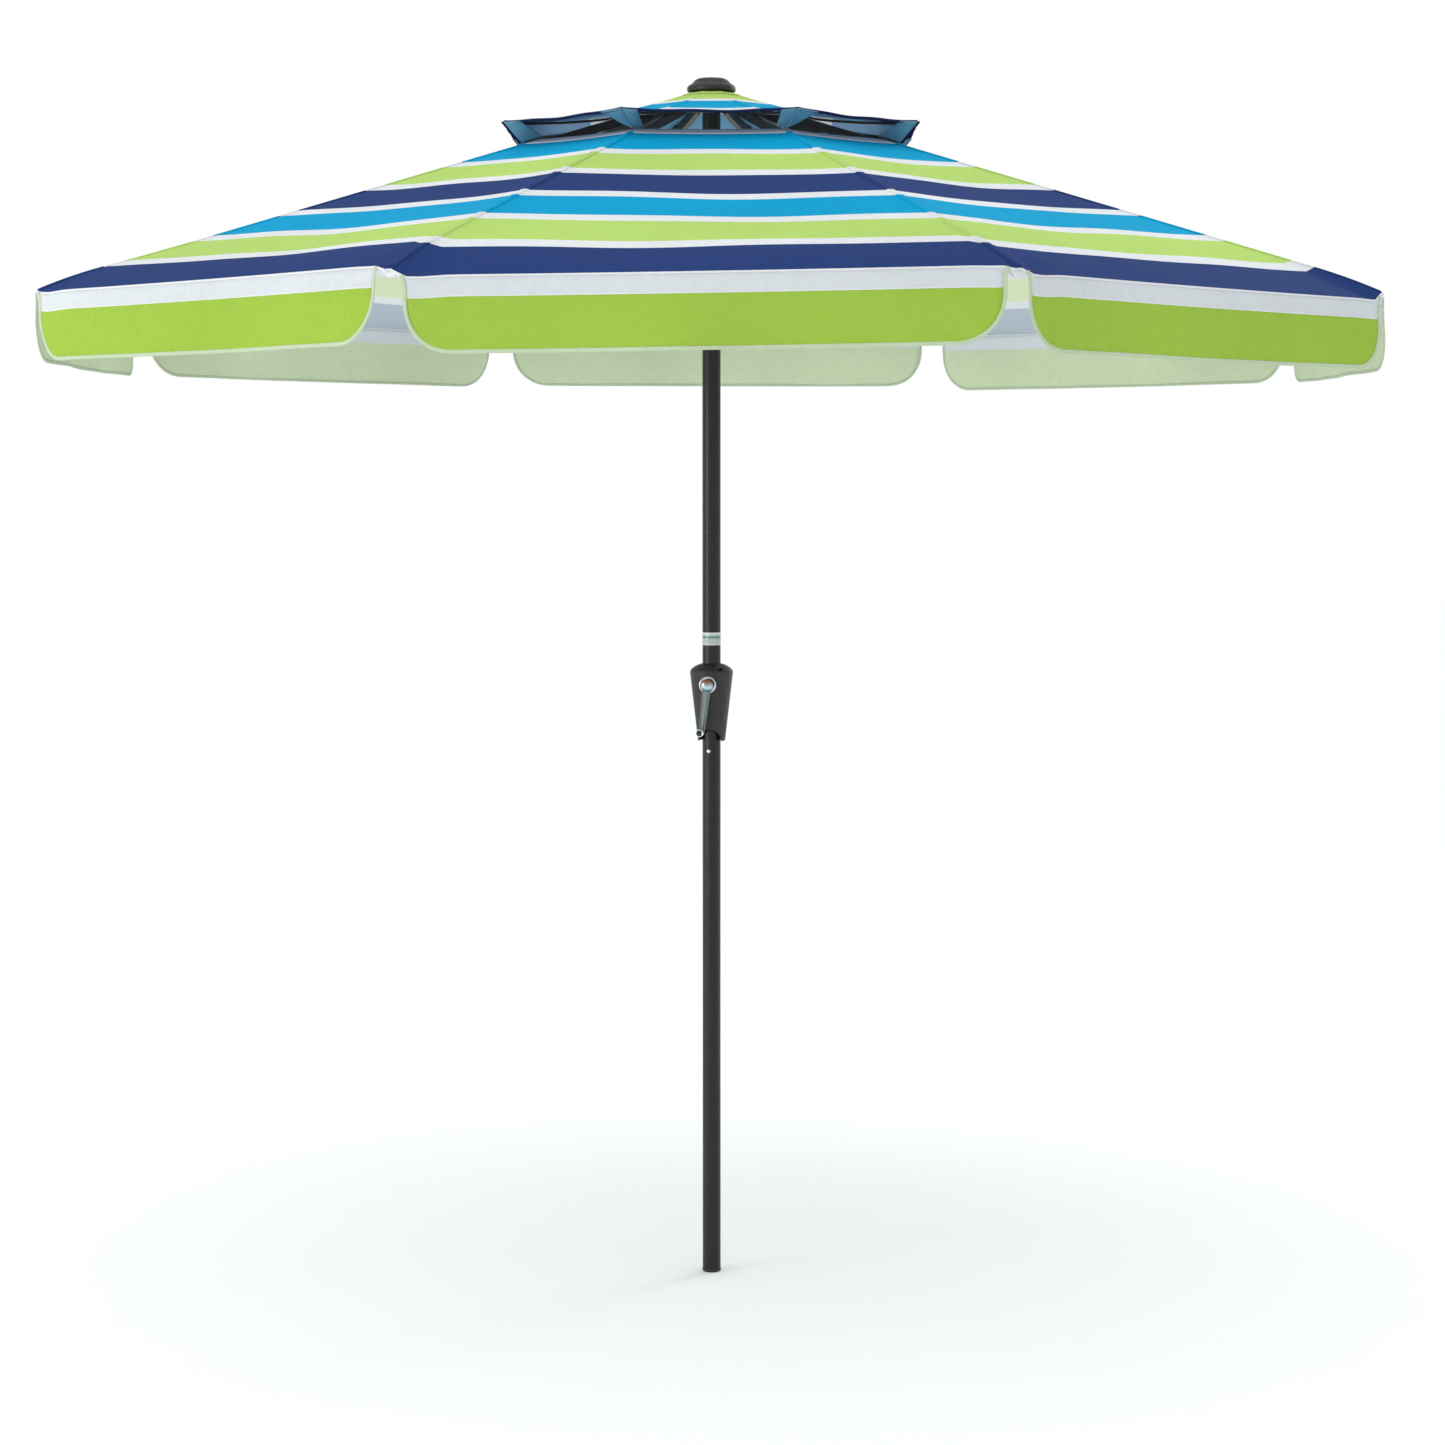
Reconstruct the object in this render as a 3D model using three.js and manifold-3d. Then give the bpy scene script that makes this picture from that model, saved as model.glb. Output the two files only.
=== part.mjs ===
// Market umbrella: a two-piece pole with a crank lift, eight ribs carried by eight struts,
// an eight-panel canopy with hanging flaps, and a raised top tier that vents the wind.
// Millimetres, +Z up. The origin is the centre of the pole's foot, and the front is -Y.

import * as THREE from 'three';
import { mergeVertices } from 'three/addons/utils/BufferGeometryUtils.js';
import Module from 'manifold-3d';

const wasm = await Module();
wasm.setup();

// ---- driving dimensions -------------------------------------------------------------------

const RIB_COUNT = 8;
const SECTOR = (2 * Math.PI) / RIB_COUNT;
const FRONT = -Math.PI / 2;
const GAP = 0.3; // room left between pieces that touch
const ROUND = 32; // sides of the large round pieces

const TOTAL_HEIGHT = 2500;
const POLE_R = 19;
const POLE_WALL = 1.4;
const JOIN_Z = 1075; // where the upper pole meets the lower one
const NECK_TOP_Z = 1160;
const NECK_R = 17.2;
const POLE_TOP_Z = 2446;
const PLUG_FLANGE = 8;
const BUTTON_Z = 1106.5;
const BUTTON_R = 4;
const BUTTON_TURN = THREE.MathUtils.degToRad(-18.4);

const PIVOT_R = 36; // hub and runner pivots lie on a circle of this radius
const HUB_Z = 2455.2;
const RING_WIRE_R = 1.5;
const EYE_HOLE_R = 2;
const LINK = 560; // hub pivot to strut rivet, and strut rivet to runner pivot
const RIVET_DROP = 18; // rivet below the rib's centreline
const RIB_ANGLE = THREE.MathUtils.degToRad(72.54); // open rib, from straight down
const RUNNER_Z = HUB_Z - 2 * LINK * Math.cos(RIB_ANGLE - Math.asin(RIVET_DROP / LINK));

const RIB_W = 12;
const RIB_H = 18;
const RIB_WALL = 0.9;
const STRUT_W = 10;
const STRUT_H = 14;
const STRUT_WALL = 0.8;
const BLADE_W = 6;
const SLOT_W = 7.4;

const FABRIC = 1.5;
const CANOPY_TOP_Z = 2466; // fabric over a rib at radius CANOPY_TOP_R
const CANOPY_TOP_R = 40;
const VENT_R = 376; // corner radius of the vent opening
const STRAIGHT_R = 1276; // the fabric dips from here to the rim
const DIP_R = 1345;
const DIP_Z = 2052.6;
const RIM_R = 1402;
const RIM_Z = 2028.5;
const RIB_TIP_R = 1386;
const FLAP_INSET = 25; // from a corner of the rim to the flap's side
const FLAP_H = 131;
const FLAP_SIDE = 46; // straight part of a flap's side
const FLAP_CORNER_R = 85;
const FLAP_T = 1.6;

const TIER_R = 452;
const TIER_RIM_Z = 2395;
const TIER_RISE = 73;
const TIER_TOP_R = 45;

const FINIAL_BASE_Z = 2471;
const CROWN_R = 46;

const PULLEY_Y = 14;
const PULLEY_Z = 2424;
const PULLEY_R = 12.5;
const CORD_R = 1.5;
const CORD_TURN_R = 10.3;

const CRANK_Z = 1247;
const CRANK_TURN = THREE.MathUtils.degToRad(-10);
const ARM_LENGTH = 99.5;
const ARM_SWING = THREE.MathUtils.degToRad(6.7);
const SHAFT_R = 4.5;
const HOUSING_WALL = 2.6;
const BOSS_FACE = 44.5;

// ---- materials ----------------------------------------------------------------------------

function finish(color, roughness, metalness) {
  return new THREE.MeshStandardMaterial({ color, roughness, metalness });
}

const bronzePaint = finish(0x2f2e2a, 0.45, 0.35);
const darkPlastic = finish(0x3a3833, 0.55, 0);
const blackPlastic = finish(0x1c1c1c, 0.5, 0);
const chrome = finish(0xd5dadd, 0.12, 1);
const steel = finish(0x9a9c9c, 0.35, 0.9);
const greyPlastic = finish(0x6f7674, 0.5, 0);
const cordWhite = finish(0xd9d6cc, 0.85, 0);
const panelFabric = finish(0xb6d873, 0.9, 0);
const flapFabric = finish(0x9ec354, 0.9, 0);
const tierFabric = finish(0x0097cf, 0.9, 0);

// ---- solids -------------------------------------------------------------------------------

// Turns a closed three.js geometry into a solid, with its faces pointing out.
function solid(geometry) {
  const bare = geometry.index ? geometry.toNonIndexed() : geometry.clone();
  bare.deleteAttribute('normal');
  bare.deleteAttribute('uv');
  const merged = mergeVertices(bare, 1e-4);
  const position = merged.attributes.position;
  const index = merged.index.array;
  const kept = [];
  let volume = 0;
  const corner = [new THREE.Vector3(), new THREE.Vector3(), new THREE.Vector3()];
  for (let i = 0; i < index.length; i += 3) {
    const [a, b, c] = [index[i], index[i + 1], index[i + 2]];
    if (a === b || b === c || c === a) continue;
    corner[0].fromBufferAttribute(position, a);
    corner[1].fromBufferAttribute(position, b);
    corner[2].fromBufferAttribute(position, c);
    volume += corner[0].dot(corner[1].clone().cross(corner[2]));
    kept.push(a, b, c);
  }
  if (volume < 0) {
    for (let i = 0; i < kept.length; i += 3) {
      [kept[i + 1], kept[i + 2]] = [kept[i + 2], kept[i + 1]];
    }
  }
  const vertProperties = new Float32Array(position.array);
  const triVerts = new Uint32Array(kept);
  return new wasm.Manifold(new wasm.Mesh({ numProp: 3, vertProperties, triVerts }));
}

function geometryOf(manifold) {
  const mesh = manifold.getMesh();
  const geometry = new THREE.BufferGeometry();
  geometry.setAttribute('position', new THREE.BufferAttribute(new Float32Array(mesh.vertProperties), 3));
  geometry.setIndex(new THREE.BufferAttribute(new Uint32Array(mesh.triVerts), 1));
  return geometry;
}

// Turned about Z; the profile is a list of [radius, z] that ends on the axis or closes on itself.
function turned(profile, segments = ROUND, start = 0, closed = false) {
  const points = profile.map(([r, z]) => new THREE.Vector2(r, z));
  if (closed) points.push(points[0].clone());
  return solid(new THREE.LatheGeometry(points, segments, start).rotateX(Math.PI / 2));
}

const turnedRing = (profile, segments = ROUND, start = 0) => turned(profile, segments, start, true);

// An outline of [x, z] points, as thick as width along Y and centred on the XZ plane.
function slab(outline, width) {
  const shape = new THREE.Shape(outline.map(([x, z]) => new THREE.Vector2(x, z)));
  const geometry = new THREE.ExtrudeGeometry(shape, { depth: width, bevelEnabled: false });
  return solid(geometry.rotateX(Math.PI / 2).translate(0, width / 2, 0));
}

function block(sizeX, sizeY, sizeZ, x, y, z) {
  return solid(new THREE.BoxGeometry(sizeX, sizeY, sizeZ).translate(x, y, z));
}

// A round bar about the Y direction, from y0 to y1.
function barY(radius, y0, y1, x, z, segments = 18) {
  const geometry = new THREE.CylinderGeometry(radius, radius, Math.abs(y1 - y0), segments);
  return solid(geometry.translate(x, (y0 + y1) / 2, z));
}

function barX(radius, x0, x1, y, z, segments = 14) {
  const geometry = new THREE.CylinderGeometry(radius, radius, x1 - x0, segments);
  return solid(geometry.rotateZ(Math.PI / 2).translate((x0 + x1) / 2, y, z));
}

function barZ(radius, z0, z1, x, y, segments = 24) {
  const geometry = new THREE.CylinderGeometry(radius, radius, z1 - z0, segments);
  return solid(geometry.rotateX(Math.PI / 2).translate(x, y, (z0 + z1) / 2));
}

// Turned about Y: the profile is a list of [radius, y].
function turnedY(profile, z, segments = 28, closed = false) {
  const points = profile.map(([r, y]) => new THREE.Vector2(r, y));
  if (closed) points.push(points[0].clone());
  return solid(new THREE.LatheGeometry(points, segments).translate(0, 0, z));
}

function wireRing(wireRadius, z) {
  return solid(new THREE.TorusGeometry(PIVOT_R, wireRadius, 6, ROUND).translate(0, 0, z));
}

const group = new THREE.Group();

function place(name, shape, material, turn = 0) {
  const mesh = new THREE.Mesh(geometryOf(shape), material);
  mesh.name = name;
  mesh.rotation.z = turn;
  group.add(mesh);
}

const ribTurn = (k) => FRONT + SECTOR * (k - 0.5);
const panelTurn = (k) => FRONT + SECTOR * (k - 1);

// ---- pole ---------------------------------------------------------------------------------

function footPlug() {
  return turned([
    [0, 0], [16.5, 0], [18.6, 1], [19.6, 3.2], [19.6, PLUG_FLANGE], [17.2, PLUG_FLANGE + 0.4],
    [16.8, 34], [0, 34],
  ]);
}

function lowerPole() {
  const bore = POLE_R - POLE_WALL;
  const tube = turnedRing([
    [bore, PLUG_FLANGE + GAP + 0.4], [POLE_R, PLUG_FLANGE + GAP + 0.4], [POLE_R, JOIN_Z],
    [NECK_R, JOIN_Z], [NECK_R, NECK_TOP_Z], [NECK_R - POLE_WALL, NECK_TOP_Z],
    [NECK_R - POLE_WALL, JOIN_Z - 1], [bore, JOIN_Z - 7],
  ]);
  return tube.subtract(snapHole());
}

const snapHole = () => solid(
  new THREE.CylinderGeometry(BUTTON_R + 0.5, BUTTON_R + 0.5, 20, 14)
    .translate(0, -18, BUTTON_Z).rotateZ(BUTTON_TURN),
);

function upperPole() {
  const bore = POLE_R - POLE_WALL;
  const z0 = JOIN_Z + GAP;
  const tube = turnedRing([[bore, z0], [POLE_R, z0], [POLE_R, POLE_TOP_Z], [bore, POLE_TOP_Z]]);
  const crankTurn = [0, 0, THREE.MathUtils.radToDeg(CRANK_TURN)];
  const spoolWindow = block(30, 14, 50, 0, -16, CRANK_Z).rotate(crankTurn);
  const stubHole = barY(SHAFT_R + 0.5, 10, 26, 0, CRANK_Z).rotate(crankTurn);
  const pulleySlot = block(8.6, 20, 34, 0, PULLEY_Y + 5, PULLEY_Z);
  const pinHole = barX(2.4, -30, 30, PULLEY_Y, PULLEY_Z);
  const open = tube.subtract(snapHole()).subtract(spoolWindow).subtract(stubHole);
  return open.subtract(pulleySlot).subtract(pinHole);
}

function snapButton() {
  const profile = [
    [0, -21.2], [2.4, -20.8], [BUTTON_R, -19.4], [BUTTON_R, -14.3], [5.6, -14.2], [5.6, -12], [0, -12],
  ];
  return turnedY(profile, BUTTON_Z, 14);
}

place('foot_plug', footPlug(), blackPlastic);
place('lower_pole', lowerPole(), bronzePaint);
place('upper_pole', upperPole(), bronzePaint);
place('snap_button', snapButton(), chrome, BUTTON_TURN);

// ---- crank housing and crank --------------------------------------------------------------

// The tapered shell's outline from its lower edge to the collar at its top.
const HOUSING_OUTER = [
  [28.5, 1128], [45, 1271], [44, 1275.5], [40, 1280], [33, 1284.6], [26, 1287.8], [19.4, 1289.6],
];
const HOUSING_WEB_Z = 1157;

function housing(sign) {
  const outer = turned([[0, 1128], ...HOUSING_OUTER, [0, 1289.6]]);
  const hollow = turned([
    [0, HOUSING_WEB_Z + 2], [28.9, HOUSING_WEB_Z + 2], [45 - HOUSING_WALL, 1270], [40, 1276],
    [32, 1281.4], [24, 1285], [0, 1285],
  ]);
  const mouth = turned([[0, 1120], [24.9, 1120], [29.1, HOUSING_WEB_Z], [0, HOUSING_WEB_Z]]);
  const poleBore = barZ(POLE_R + 0.4, 1100, 1300, 0, 0, ROUND);
  let shell = outer.subtract(hollow).subtract(mouth);
  if (sign < 0) {
    const boss = barY(19.6, -BOSS_FACE, -30, 0, CRANK_Z, 24);
    const arch = barY(23, -60, 0, 0, 1130, 24);
    const screwHole = barY(3, -60, -10, 25, 1278, 10);
    shell = shell.add(boss.subtract(hollow)).subtract(barY(SHAFT_R + 0.6, -60, 0, 0, CRANK_Z));
    shell = shell.subtract(arch).subtract(screwHole);
  }
  const half = block(120, 60, 200, 0, sign * (30 + GAP / 2), 1210);
  return shell.subtract(poleBore).intersect(half);
}

function crankSpool() {
  return turnedY([
    [0, -52.6], [SHAFT_R, -52.6], [SHAFT_R, -9], [13.8, -9], [13.8, -7.4], [10, -7.4], [10, 7.4], [13.8, 7.4],
    [13.8, 9], [SHAFT_R, 9], [SHAFT_R, 21], [0, 21],
  ], CRANK_Z, 20);
}

const crankRing = () => turnedY([
  [9.6, -BOSS_FACE - GAP], [18.6, -BOSS_FACE - GAP], [18.6, -46], [16.8, -47.8], [9.6, -47.8],
], CRANK_Z, 28, true);

function crankArm() {
  const face = -48.2;
  const outline = new THREE.Shape();
  const [wide, narrow] = [9.3, 5.6];
  outline.absarc(0, 0, wide, 0, Math.PI, false);
  outline.lineTo(-narrow, -ARM_LENGTH);
  outline.absarc(0, -ARM_LENGTH, narrow, Math.PI, 2 * Math.PI, false);
  outline.lineTo(wide, 0);
  const lever = new THREE.ExtrudeGeometry(outline, { depth: 5, bevelEnabled: false, curveSegments: 4 });
  lever.rotateX(Math.PI / 2).translate(0, face, 0).rotateY(ARM_SWING);
  const plate = solid(lever.translate(0, 0, CRANK_Z));
  const [knobX, knobZ] = knobPlace();
  const neck = barY(9, face - 1, -BOSS_FACE - 0.6, 0, CRANK_Z);
  const pin = barY(2.4, face - 3, -75, knobX, knobZ, 14);
  const shaftHole = barY(SHAFT_R + GAP, -60, -40, 0, CRANK_Z);
  return plate.add(neck).add(pin).subtract(shaftHole);
}

const knobPlace = () => [-ARM_LENGTH * Math.sin(ARM_SWING), CRANK_Z - ARM_LENGTH * Math.cos(ARM_SWING)];

const crankCap = () => turnedY([
  [0, -61.6], [5, -61.2], [9.4, -59.6], [12.2, -57], [13.2, -54.4], [12.8, -53.5], [0, -53.5],
], CRANK_Z, 24);

function crankKnob() {
  const [x, z] = knobPlace();
  const profile = [
    [2.8, -53.5], [6, -53.5], [7.2, -55], [6.4, -59], [7.6, -66], [8.5, -71], [7.6, -75.4], [5, -77],
    [2.8, -77],
  ];
  return turnedY(profile, 0, 18, true).translate([x, 0, z]);
}

place('housing_front', housing(-1), darkPlastic, CRANK_TURN);
place('housing_back', housing(1), darkPlastic, CRANK_TURN);
place('crank_spool', crankSpool(), steel, CRANK_TURN);
place('crank_ring', crankRing(), chrome, CRANK_TURN);
place('crank_arm', crankArm(), greyPlastic, CRANK_TURN);
place('crank_cap', crankCap(), chrome, CRANK_TURN);
place('crank_knob', crankKnob(), greyPlastic, CRANK_TURN);

// ---- lift cord and the pulley at the top of the pole --------------------------------------

// The cord's route is given by its own points, closer together where it turns over the pulley.
class CordRoute extends THREE.Curve {
  constructor(points) {
    super();
    this.points = points;
  }

  getPoint(t) {
    const place = t * (this.points.length - 1);
    const i = Math.min(Math.floor(place), this.points.length - 2);
    return this.points[i].clone().lerp(this.points[i + 1], place - i);
  }

  getPointAt(t) {
    return this.getPoint(t);
  }

  getTangentAt(t) {
    const i = Math.round(t * (this.points.length - 1));
    const before = this.points[Math.max(i - 1, 0)];
    const after = this.points[Math.min(i + 1, this.points.length - 1)];
    return after.clone().sub(before).normalize();
  }
}

function liftCord() {
  const points = [new THREE.Vector3(11.6, -2, CRANK_Z + 4), new THREE.Vector3(11.6, -2, CRANK_Z + 40)];
  points.push(new THREE.Vector3(6, 1.5, (CRANK_Z + PULLEY_Z) / 2));
  points.push(new THREE.Vector3(0, PULLEY_Y - CORD_TURN_R, PULLEY_Z - 60));
  const turns = 8;
  for (let i = 0; i <= turns; i++) {
    const angle = Math.PI * (1 - i / turns);
    const y = PULLEY_Y + CORD_TURN_R * Math.cos(angle);
    points.push(new THREE.Vector3(0, y, PULLEY_Z + CORD_TURN_R * Math.sin(angle)));
  }
  for (const z of [PULLEY_Z - 60, (PULLEY_Z + RUNNER_Z) / 2, RUNNER_Z + 4]) {
    points.push(new THREE.Vector3(0, PULLEY_Y + CORD_TURN_R, z));
  }
  const section = new THREE.Shape().absarc(0, 0, CORD_R, 0, 2 * Math.PI, false);
  const route = new CordRoute(points);
  const settings = { steps: points.length - 1, extrudePath: route, curveSegments: 4, bevelEnabled: false };
  return solid(new THREE.ExtrudeGeometry(section, settings));
}

function hubPulley() {
  const half = 3.5;
  const rim = PULLEY_R;
  const groove = CORD_TURN_R - CORD_R - GAP;
  const points = [
    [2.5, -half], [rim, -half], [rim, -half + 0.8], [groove, -1], [groove, 1], [rim, half - 0.8],
    [rim, half], [2.5, half],
  ];
  const profile = points.map(([r, x]) => new THREE.Vector2(r, x));
  profile.push(profile[0].clone());
  const wheel = new THREE.LatheGeometry(profile, 20);
  return solid(wheel.rotateZ(Math.PI / 2).translate(0, PULLEY_Y, PULLEY_Z));
}

place('lift_cord', liftCord(), cordWhite);
place('hub_pulley', hubPulley(), steel);
place('pulley_pin', barX(2, -12.6, 12.6, PULLEY_Y, PULLEY_Z, 14), steel);

// ---- hub, runner and their pivot rings ----------------------------------------------------

// Eight radial slots for the blades, from inner radius outward and between two heights.
function bladeSlots(innerR, outerR, z0, z1) {
  const slots = [];
  for (let k = 1; k <= RIB_COUNT; k++) {
    const cut = block(outerR - innerR, SLOT_W, z1 - z0, (innerR + outerR) / 2, 0, (z0 + z1) / 2);
    slots.push(cut.rotate([0, 0, THREE.MathUtils.radToDeg(ribTurn(k))]));
  }
  return wasm.Manifold.union(slots);
}

function hubCrown() {
  const body = turned([
    [0, 2466], [20, 2465], [30, 2461.5], [CROWN_R, 2459], [CROWN_R, 2449], [CROWN_R - 2, 2447],
    [POLE_R + 5, 2447], [POLE_R + 5, 2436.5], [POLE_R + 0.4, 2436.5], [POLE_R + 0.4, POLE_TOP_Z + GAP],
    [0, POLE_TOP_Z + GAP],
  ]);
  const pulleyRoom = block(10, 20, 20, 0, 22, 2436);
  const channel = wireRing(RING_WIRE_R + 0.4, HUB_Z);
  return body.subtract(bladeSlots(27.6, 70, 2430, 2470)).subtract(channel).subtract(pulleyRoom);
}

function runner() {
  const z = RUNNER_Z;
  const body = turnedRing([
    [POLE_R + 1.7, z - 30], [26, z - 30], [27, z - 28], [27, z - 14], [CROWN_R - 2, z - 11],
    [CROWN_R, z - 9], [CROWN_R, z + 8], [CROWN_R - 2, z + 10], [30, z + 10], [27.4, z + 15],
    [POLE_R + 1.7, z + 15],
  ]);
  const channel = wireRing(RING_WIRE_R + 0.4, z);
  const cordHole = barZ(2.1, z + 3, z + 20, 0, PULLEY_Y + CORD_TURN_R, 12);
  return body.subtract(bladeSlots(28.6, 70, z - 7.4, z + 20)).subtract(channel).subtract(cordHole);
}

place('hub_crown', hubCrown(), darkPlastic);
place('hub_ring', wireRing(RING_WIRE_R, HUB_Z), steel);
place('runner', runner(), darkPlastic);
place('runner_ring', wireRing(RING_WIRE_R, RUNNER_Z), steel);

function finial() {
  // radius, and height above the flat base; the short stub under it sits in the hub
  const profile = [
    [0, -3.6], [5, -3.6], [5, 0], [47, 0], [50, 1.5], [50.4, 9], [47.5, 13.2], [40.5, 17], [37.8, 20],
    [34, 24.6], [27, 27.8], [12, 28.8], [0, 29],
  ];
  return turned(profile.map(([r, z]) => [r, FINIAL_BASE_Z + z]));
}

place('finial', finial(), darkPlastic);

// ---- ribs, struts and vent arms -----------------------------------------------------------

// Rib outlines are drawn along the rib: s outward from the hub pivot, h up from its centreline.
const ribPoint = (s, h) => [
  PIVOT_R + s * Math.sin(RIB_ANGLE) + h * Math.cos(RIB_ANGLE),
  HUB_Z - s * Math.cos(RIB_ANGLE) + h * Math.sin(RIB_ANGLE),
];
const alongRib = (points) => points.map(([s, h]) => ribPoint(s, h));
const RIB_START = 26;
const RIB_END = (STRAIGHT_R - 4 - PIVOT_R) / Math.sin(RIB_ANGLE);
const RIB_TIP = (RIB_TIP_R - PIVOT_R) / Math.sin(RIB_ANGLE);
const RIVET_S = Math.sqrt(LINK * LINK - RIVET_DROP * RIVET_DROP);

// A round eye's outline, as points about its centre between two angles.
function arcPoints(x, y, r, from, to, steps) {
  const points = [];
  for (let i = 0; i <= steps; i++) {
    const angle = from + ((to - from) * i) / steps;
    points.push([x + r * Math.cos(angle), y + r * Math.sin(angle)]);
  }
  return points;
}

function rib() {
  const top = RIB_H / 2;
  const tube = slab(alongRib([[RIB_START, -top], [RIB_END, -top], [RIB_END, top], [RIB_START, top]]), RIB_W);
  const inside = top - RIB_WALL;
  const hollow = slab(
    alongRib([
      [RIB_START + 8, -inside], [RIB_END - 2, -inside], [RIB_END - 2, inside], [RIB_START + 8, inside],
    ]),
    RIB_W - 2 * RIB_WALL,
  );
  const drain = slab(alongRib([
    [RIB_START + 10, -top - 2], [RIB_START + 18, -top - 2], [RIB_START + 18, 0], [RIB_START + 10, 0],
  ]), 4);
  const tip = slab(alongRib([
    [RIB_END - 1, -top], [RIB_TIP, -top], [RIB_TIP, -top + 3], [RIB_END + 18, top - 2.5], [RIB_END - 1, top],
  ]), RIB_W - 1);
  const eye = arcPoints(0, 0, 7, Math.PI / 2, 1.5 * Math.PI, 6);
  const blade = slab(alongRib([...eye, [RIB_START + 2, -7], [RIB_START + 2, 7]]), BLADE_W);
  const hole = barY(EYE_HOLE_R + 0.2, -10, 10, PIVOT_R, HUB_Z, 10);
  const bracketTop = -top + 1;
  const ears = slab(alongRib([
    [RIVET_S + 10, bracketTop], [RIVET_S - 10, bracketTop],
    ...arcPoints(RIVET_S, -RIVET_DROP, 6.5, Math.PI, 2 * Math.PI, 5),
  ]), 11.6).subtract(slab(alongRib([
    [RIVET_S - 20, -top], [RIVET_S - 20, -top - 30], [RIVET_S + 20, -top - 30], [RIVET_S + 20, -top],
  ]), SLOT_W));
  const [rivetX, rivetZ] = ribPoint(RIVET_S, -RIVET_DROP);
  const rivetHole = barY(2.4, -10, 10, rivetX, rivetZ, 10);
  const bar = tube.add(tip).subtract(hollow).subtract(drain);
  return bar.add(blade).subtract(hole).add(ears).subtract(rivetHole);
}

function strut() {
  const [rivetX, rivetZ] = ribPoint(RIVET_S, -RIVET_DROP);
  const along = new THREE.Vector2(rivetX - PIVOT_R, rivetZ - RUNNER_Z).normalize();
  const at = ([s, h]) => [PIVOT_R + s * along.x - h * along.y, RUNNER_Z + s * along.y + h * along.x];
  const top = STRUT_H / 2;
  const [start, end] = [18, LINK - 20];
  const tube = slab([[start, -top], [end, -top], [end, top], [start, top]].map(at), STRUT_W);
  const inside = top - STRUT_WALL;
  const hollow = slab(
    [[start + 4, -inside], [end - 4, -inside], [end - 4, inside], [start + 4, inside]].map(at),
    STRUT_W - 2 * STRUT_WALL,
  );
  const drain = slab(
    [[start + 8, -top - 2], [start + 16, -top - 2], [start + 16, 0], [start + 8, 0]].map(at),
    4,
  );
  const innerEye = arcPoints(0, 0, 6.2, Math.PI / 2, 1.5 * Math.PI, 5);
  const outerEye = arcPoints(LINK, 0, 5.6, -Math.PI / 2, Math.PI / 2, 5);
  const inner = slab([...innerEye, [start + 2, -6], [start + 2, 6]].map(at), BLADE_W);
  const outer = slab([...outerEye, [end - 2, 5.6], [end - 2, -5.6]].map(at), BLADE_W);
  const hole = barY(EYE_HOLE_R + 0.2, -10, 10, PIVOT_R, RUNNER_Z, 10);
  const rivet = barY(1.95, -7, 7, rivetX, rivetZ, 10);
  return tube.subtract(hollow).subtract(drain).add(inner).add(outer).subtract(hole).add(rivet);
}

// Each arm rests on its rib and bends level to hold one corner of the top tier.
function ventArm() {
  const half = 2.4;
  const ribTop = (r) => HUB_Z - (r - PIVOT_R) / Math.tan(RIB_ANGLE) + RIB_H / 2 / Math.sin(RIB_ANGLE);
  const line = [
    [190, ribTop(190) + half + 0.5], [228, ribTop(228) + half + 0.5], [270, 2401], [330, 2395],
    [390, 2391.4], [444, 2389.6],
  ];
  const upper = line.map(([r, z]) => [r, z + half]);
  const lower = line.map(([r, z]) => [r, z - half]).reverse();
  const rivetR = 207;
  const rivetHead = barZ(3, ribTop(rivetR) + 3, ribTop(rivetR) + 6.6, rivetR, 0, 8);
  return slab([...upper, ...lower], RIB_W - 1).add(rivetHead);
}

for (let k = 1; k <= RIB_COUNT; k++) {
  place(`rib_${k}`, rib(), bronzePaint, ribTurn(k));
}
for (let k = 1; k <= RIB_COUNT; k++) {
  place(`strut_${k}`, strut(), bronzePaint, ribTurn(k));
}
for (let k = 1; k <= RIB_COUNT; k++) {
  place(`vent_arm_${k}`, ventArm(), bronzePaint, ribTurn(k));
}

// ---- canopy -------------------------------------------------------------------------------

// Profiles are given at the corners; an eight-sided turn makes the flat panels between them.
const RIB_SLOPE = 1 / Math.tan(RIB_ANGLE);
const fabricZ = (r) => CANOPY_TOP_Z - (r - CANOPY_TOP_R) * RIB_SLOPE;
const CORNER_START = SECTOR / 2;

function canopyShell() {
  const outer = [
    [VENT_R, fabricZ(VENT_R)], [STRAIGHT_R, fabricZ(STRAIGHT_R)], [DIP_R, DIP_Z], [RIM_R, RIM_Z],
  ];
  const inner = outer.map(([r, z]) => [r, z - FABRIC * 1.05]).reverse();
  return turnedRing([...outer, ...inner], RIB_COUNT, CORNER_START);
}

// The wedge between two ribs, kept a little clear of both.
function sector(reach, z0, z1) {
  const half = SECTOR / 2;
  const back = 0.5 / Math.sin(half);
  const outline = new THREE.Shape([
    new THREE.Vector2(back, 0), new THREE.Vector2(reach, -(reach - back) * Math.tan(half)),
    new THREE.Vector2(reach, (reach - back) * Math.tan(half)),
  ]);
  const geometry = new THREE.ExtrudeGeometry(outline, { depth: z1 - z0, bevelEnabled: false });
  return solid(geometry.translate(0, 0, z0));
}

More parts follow.
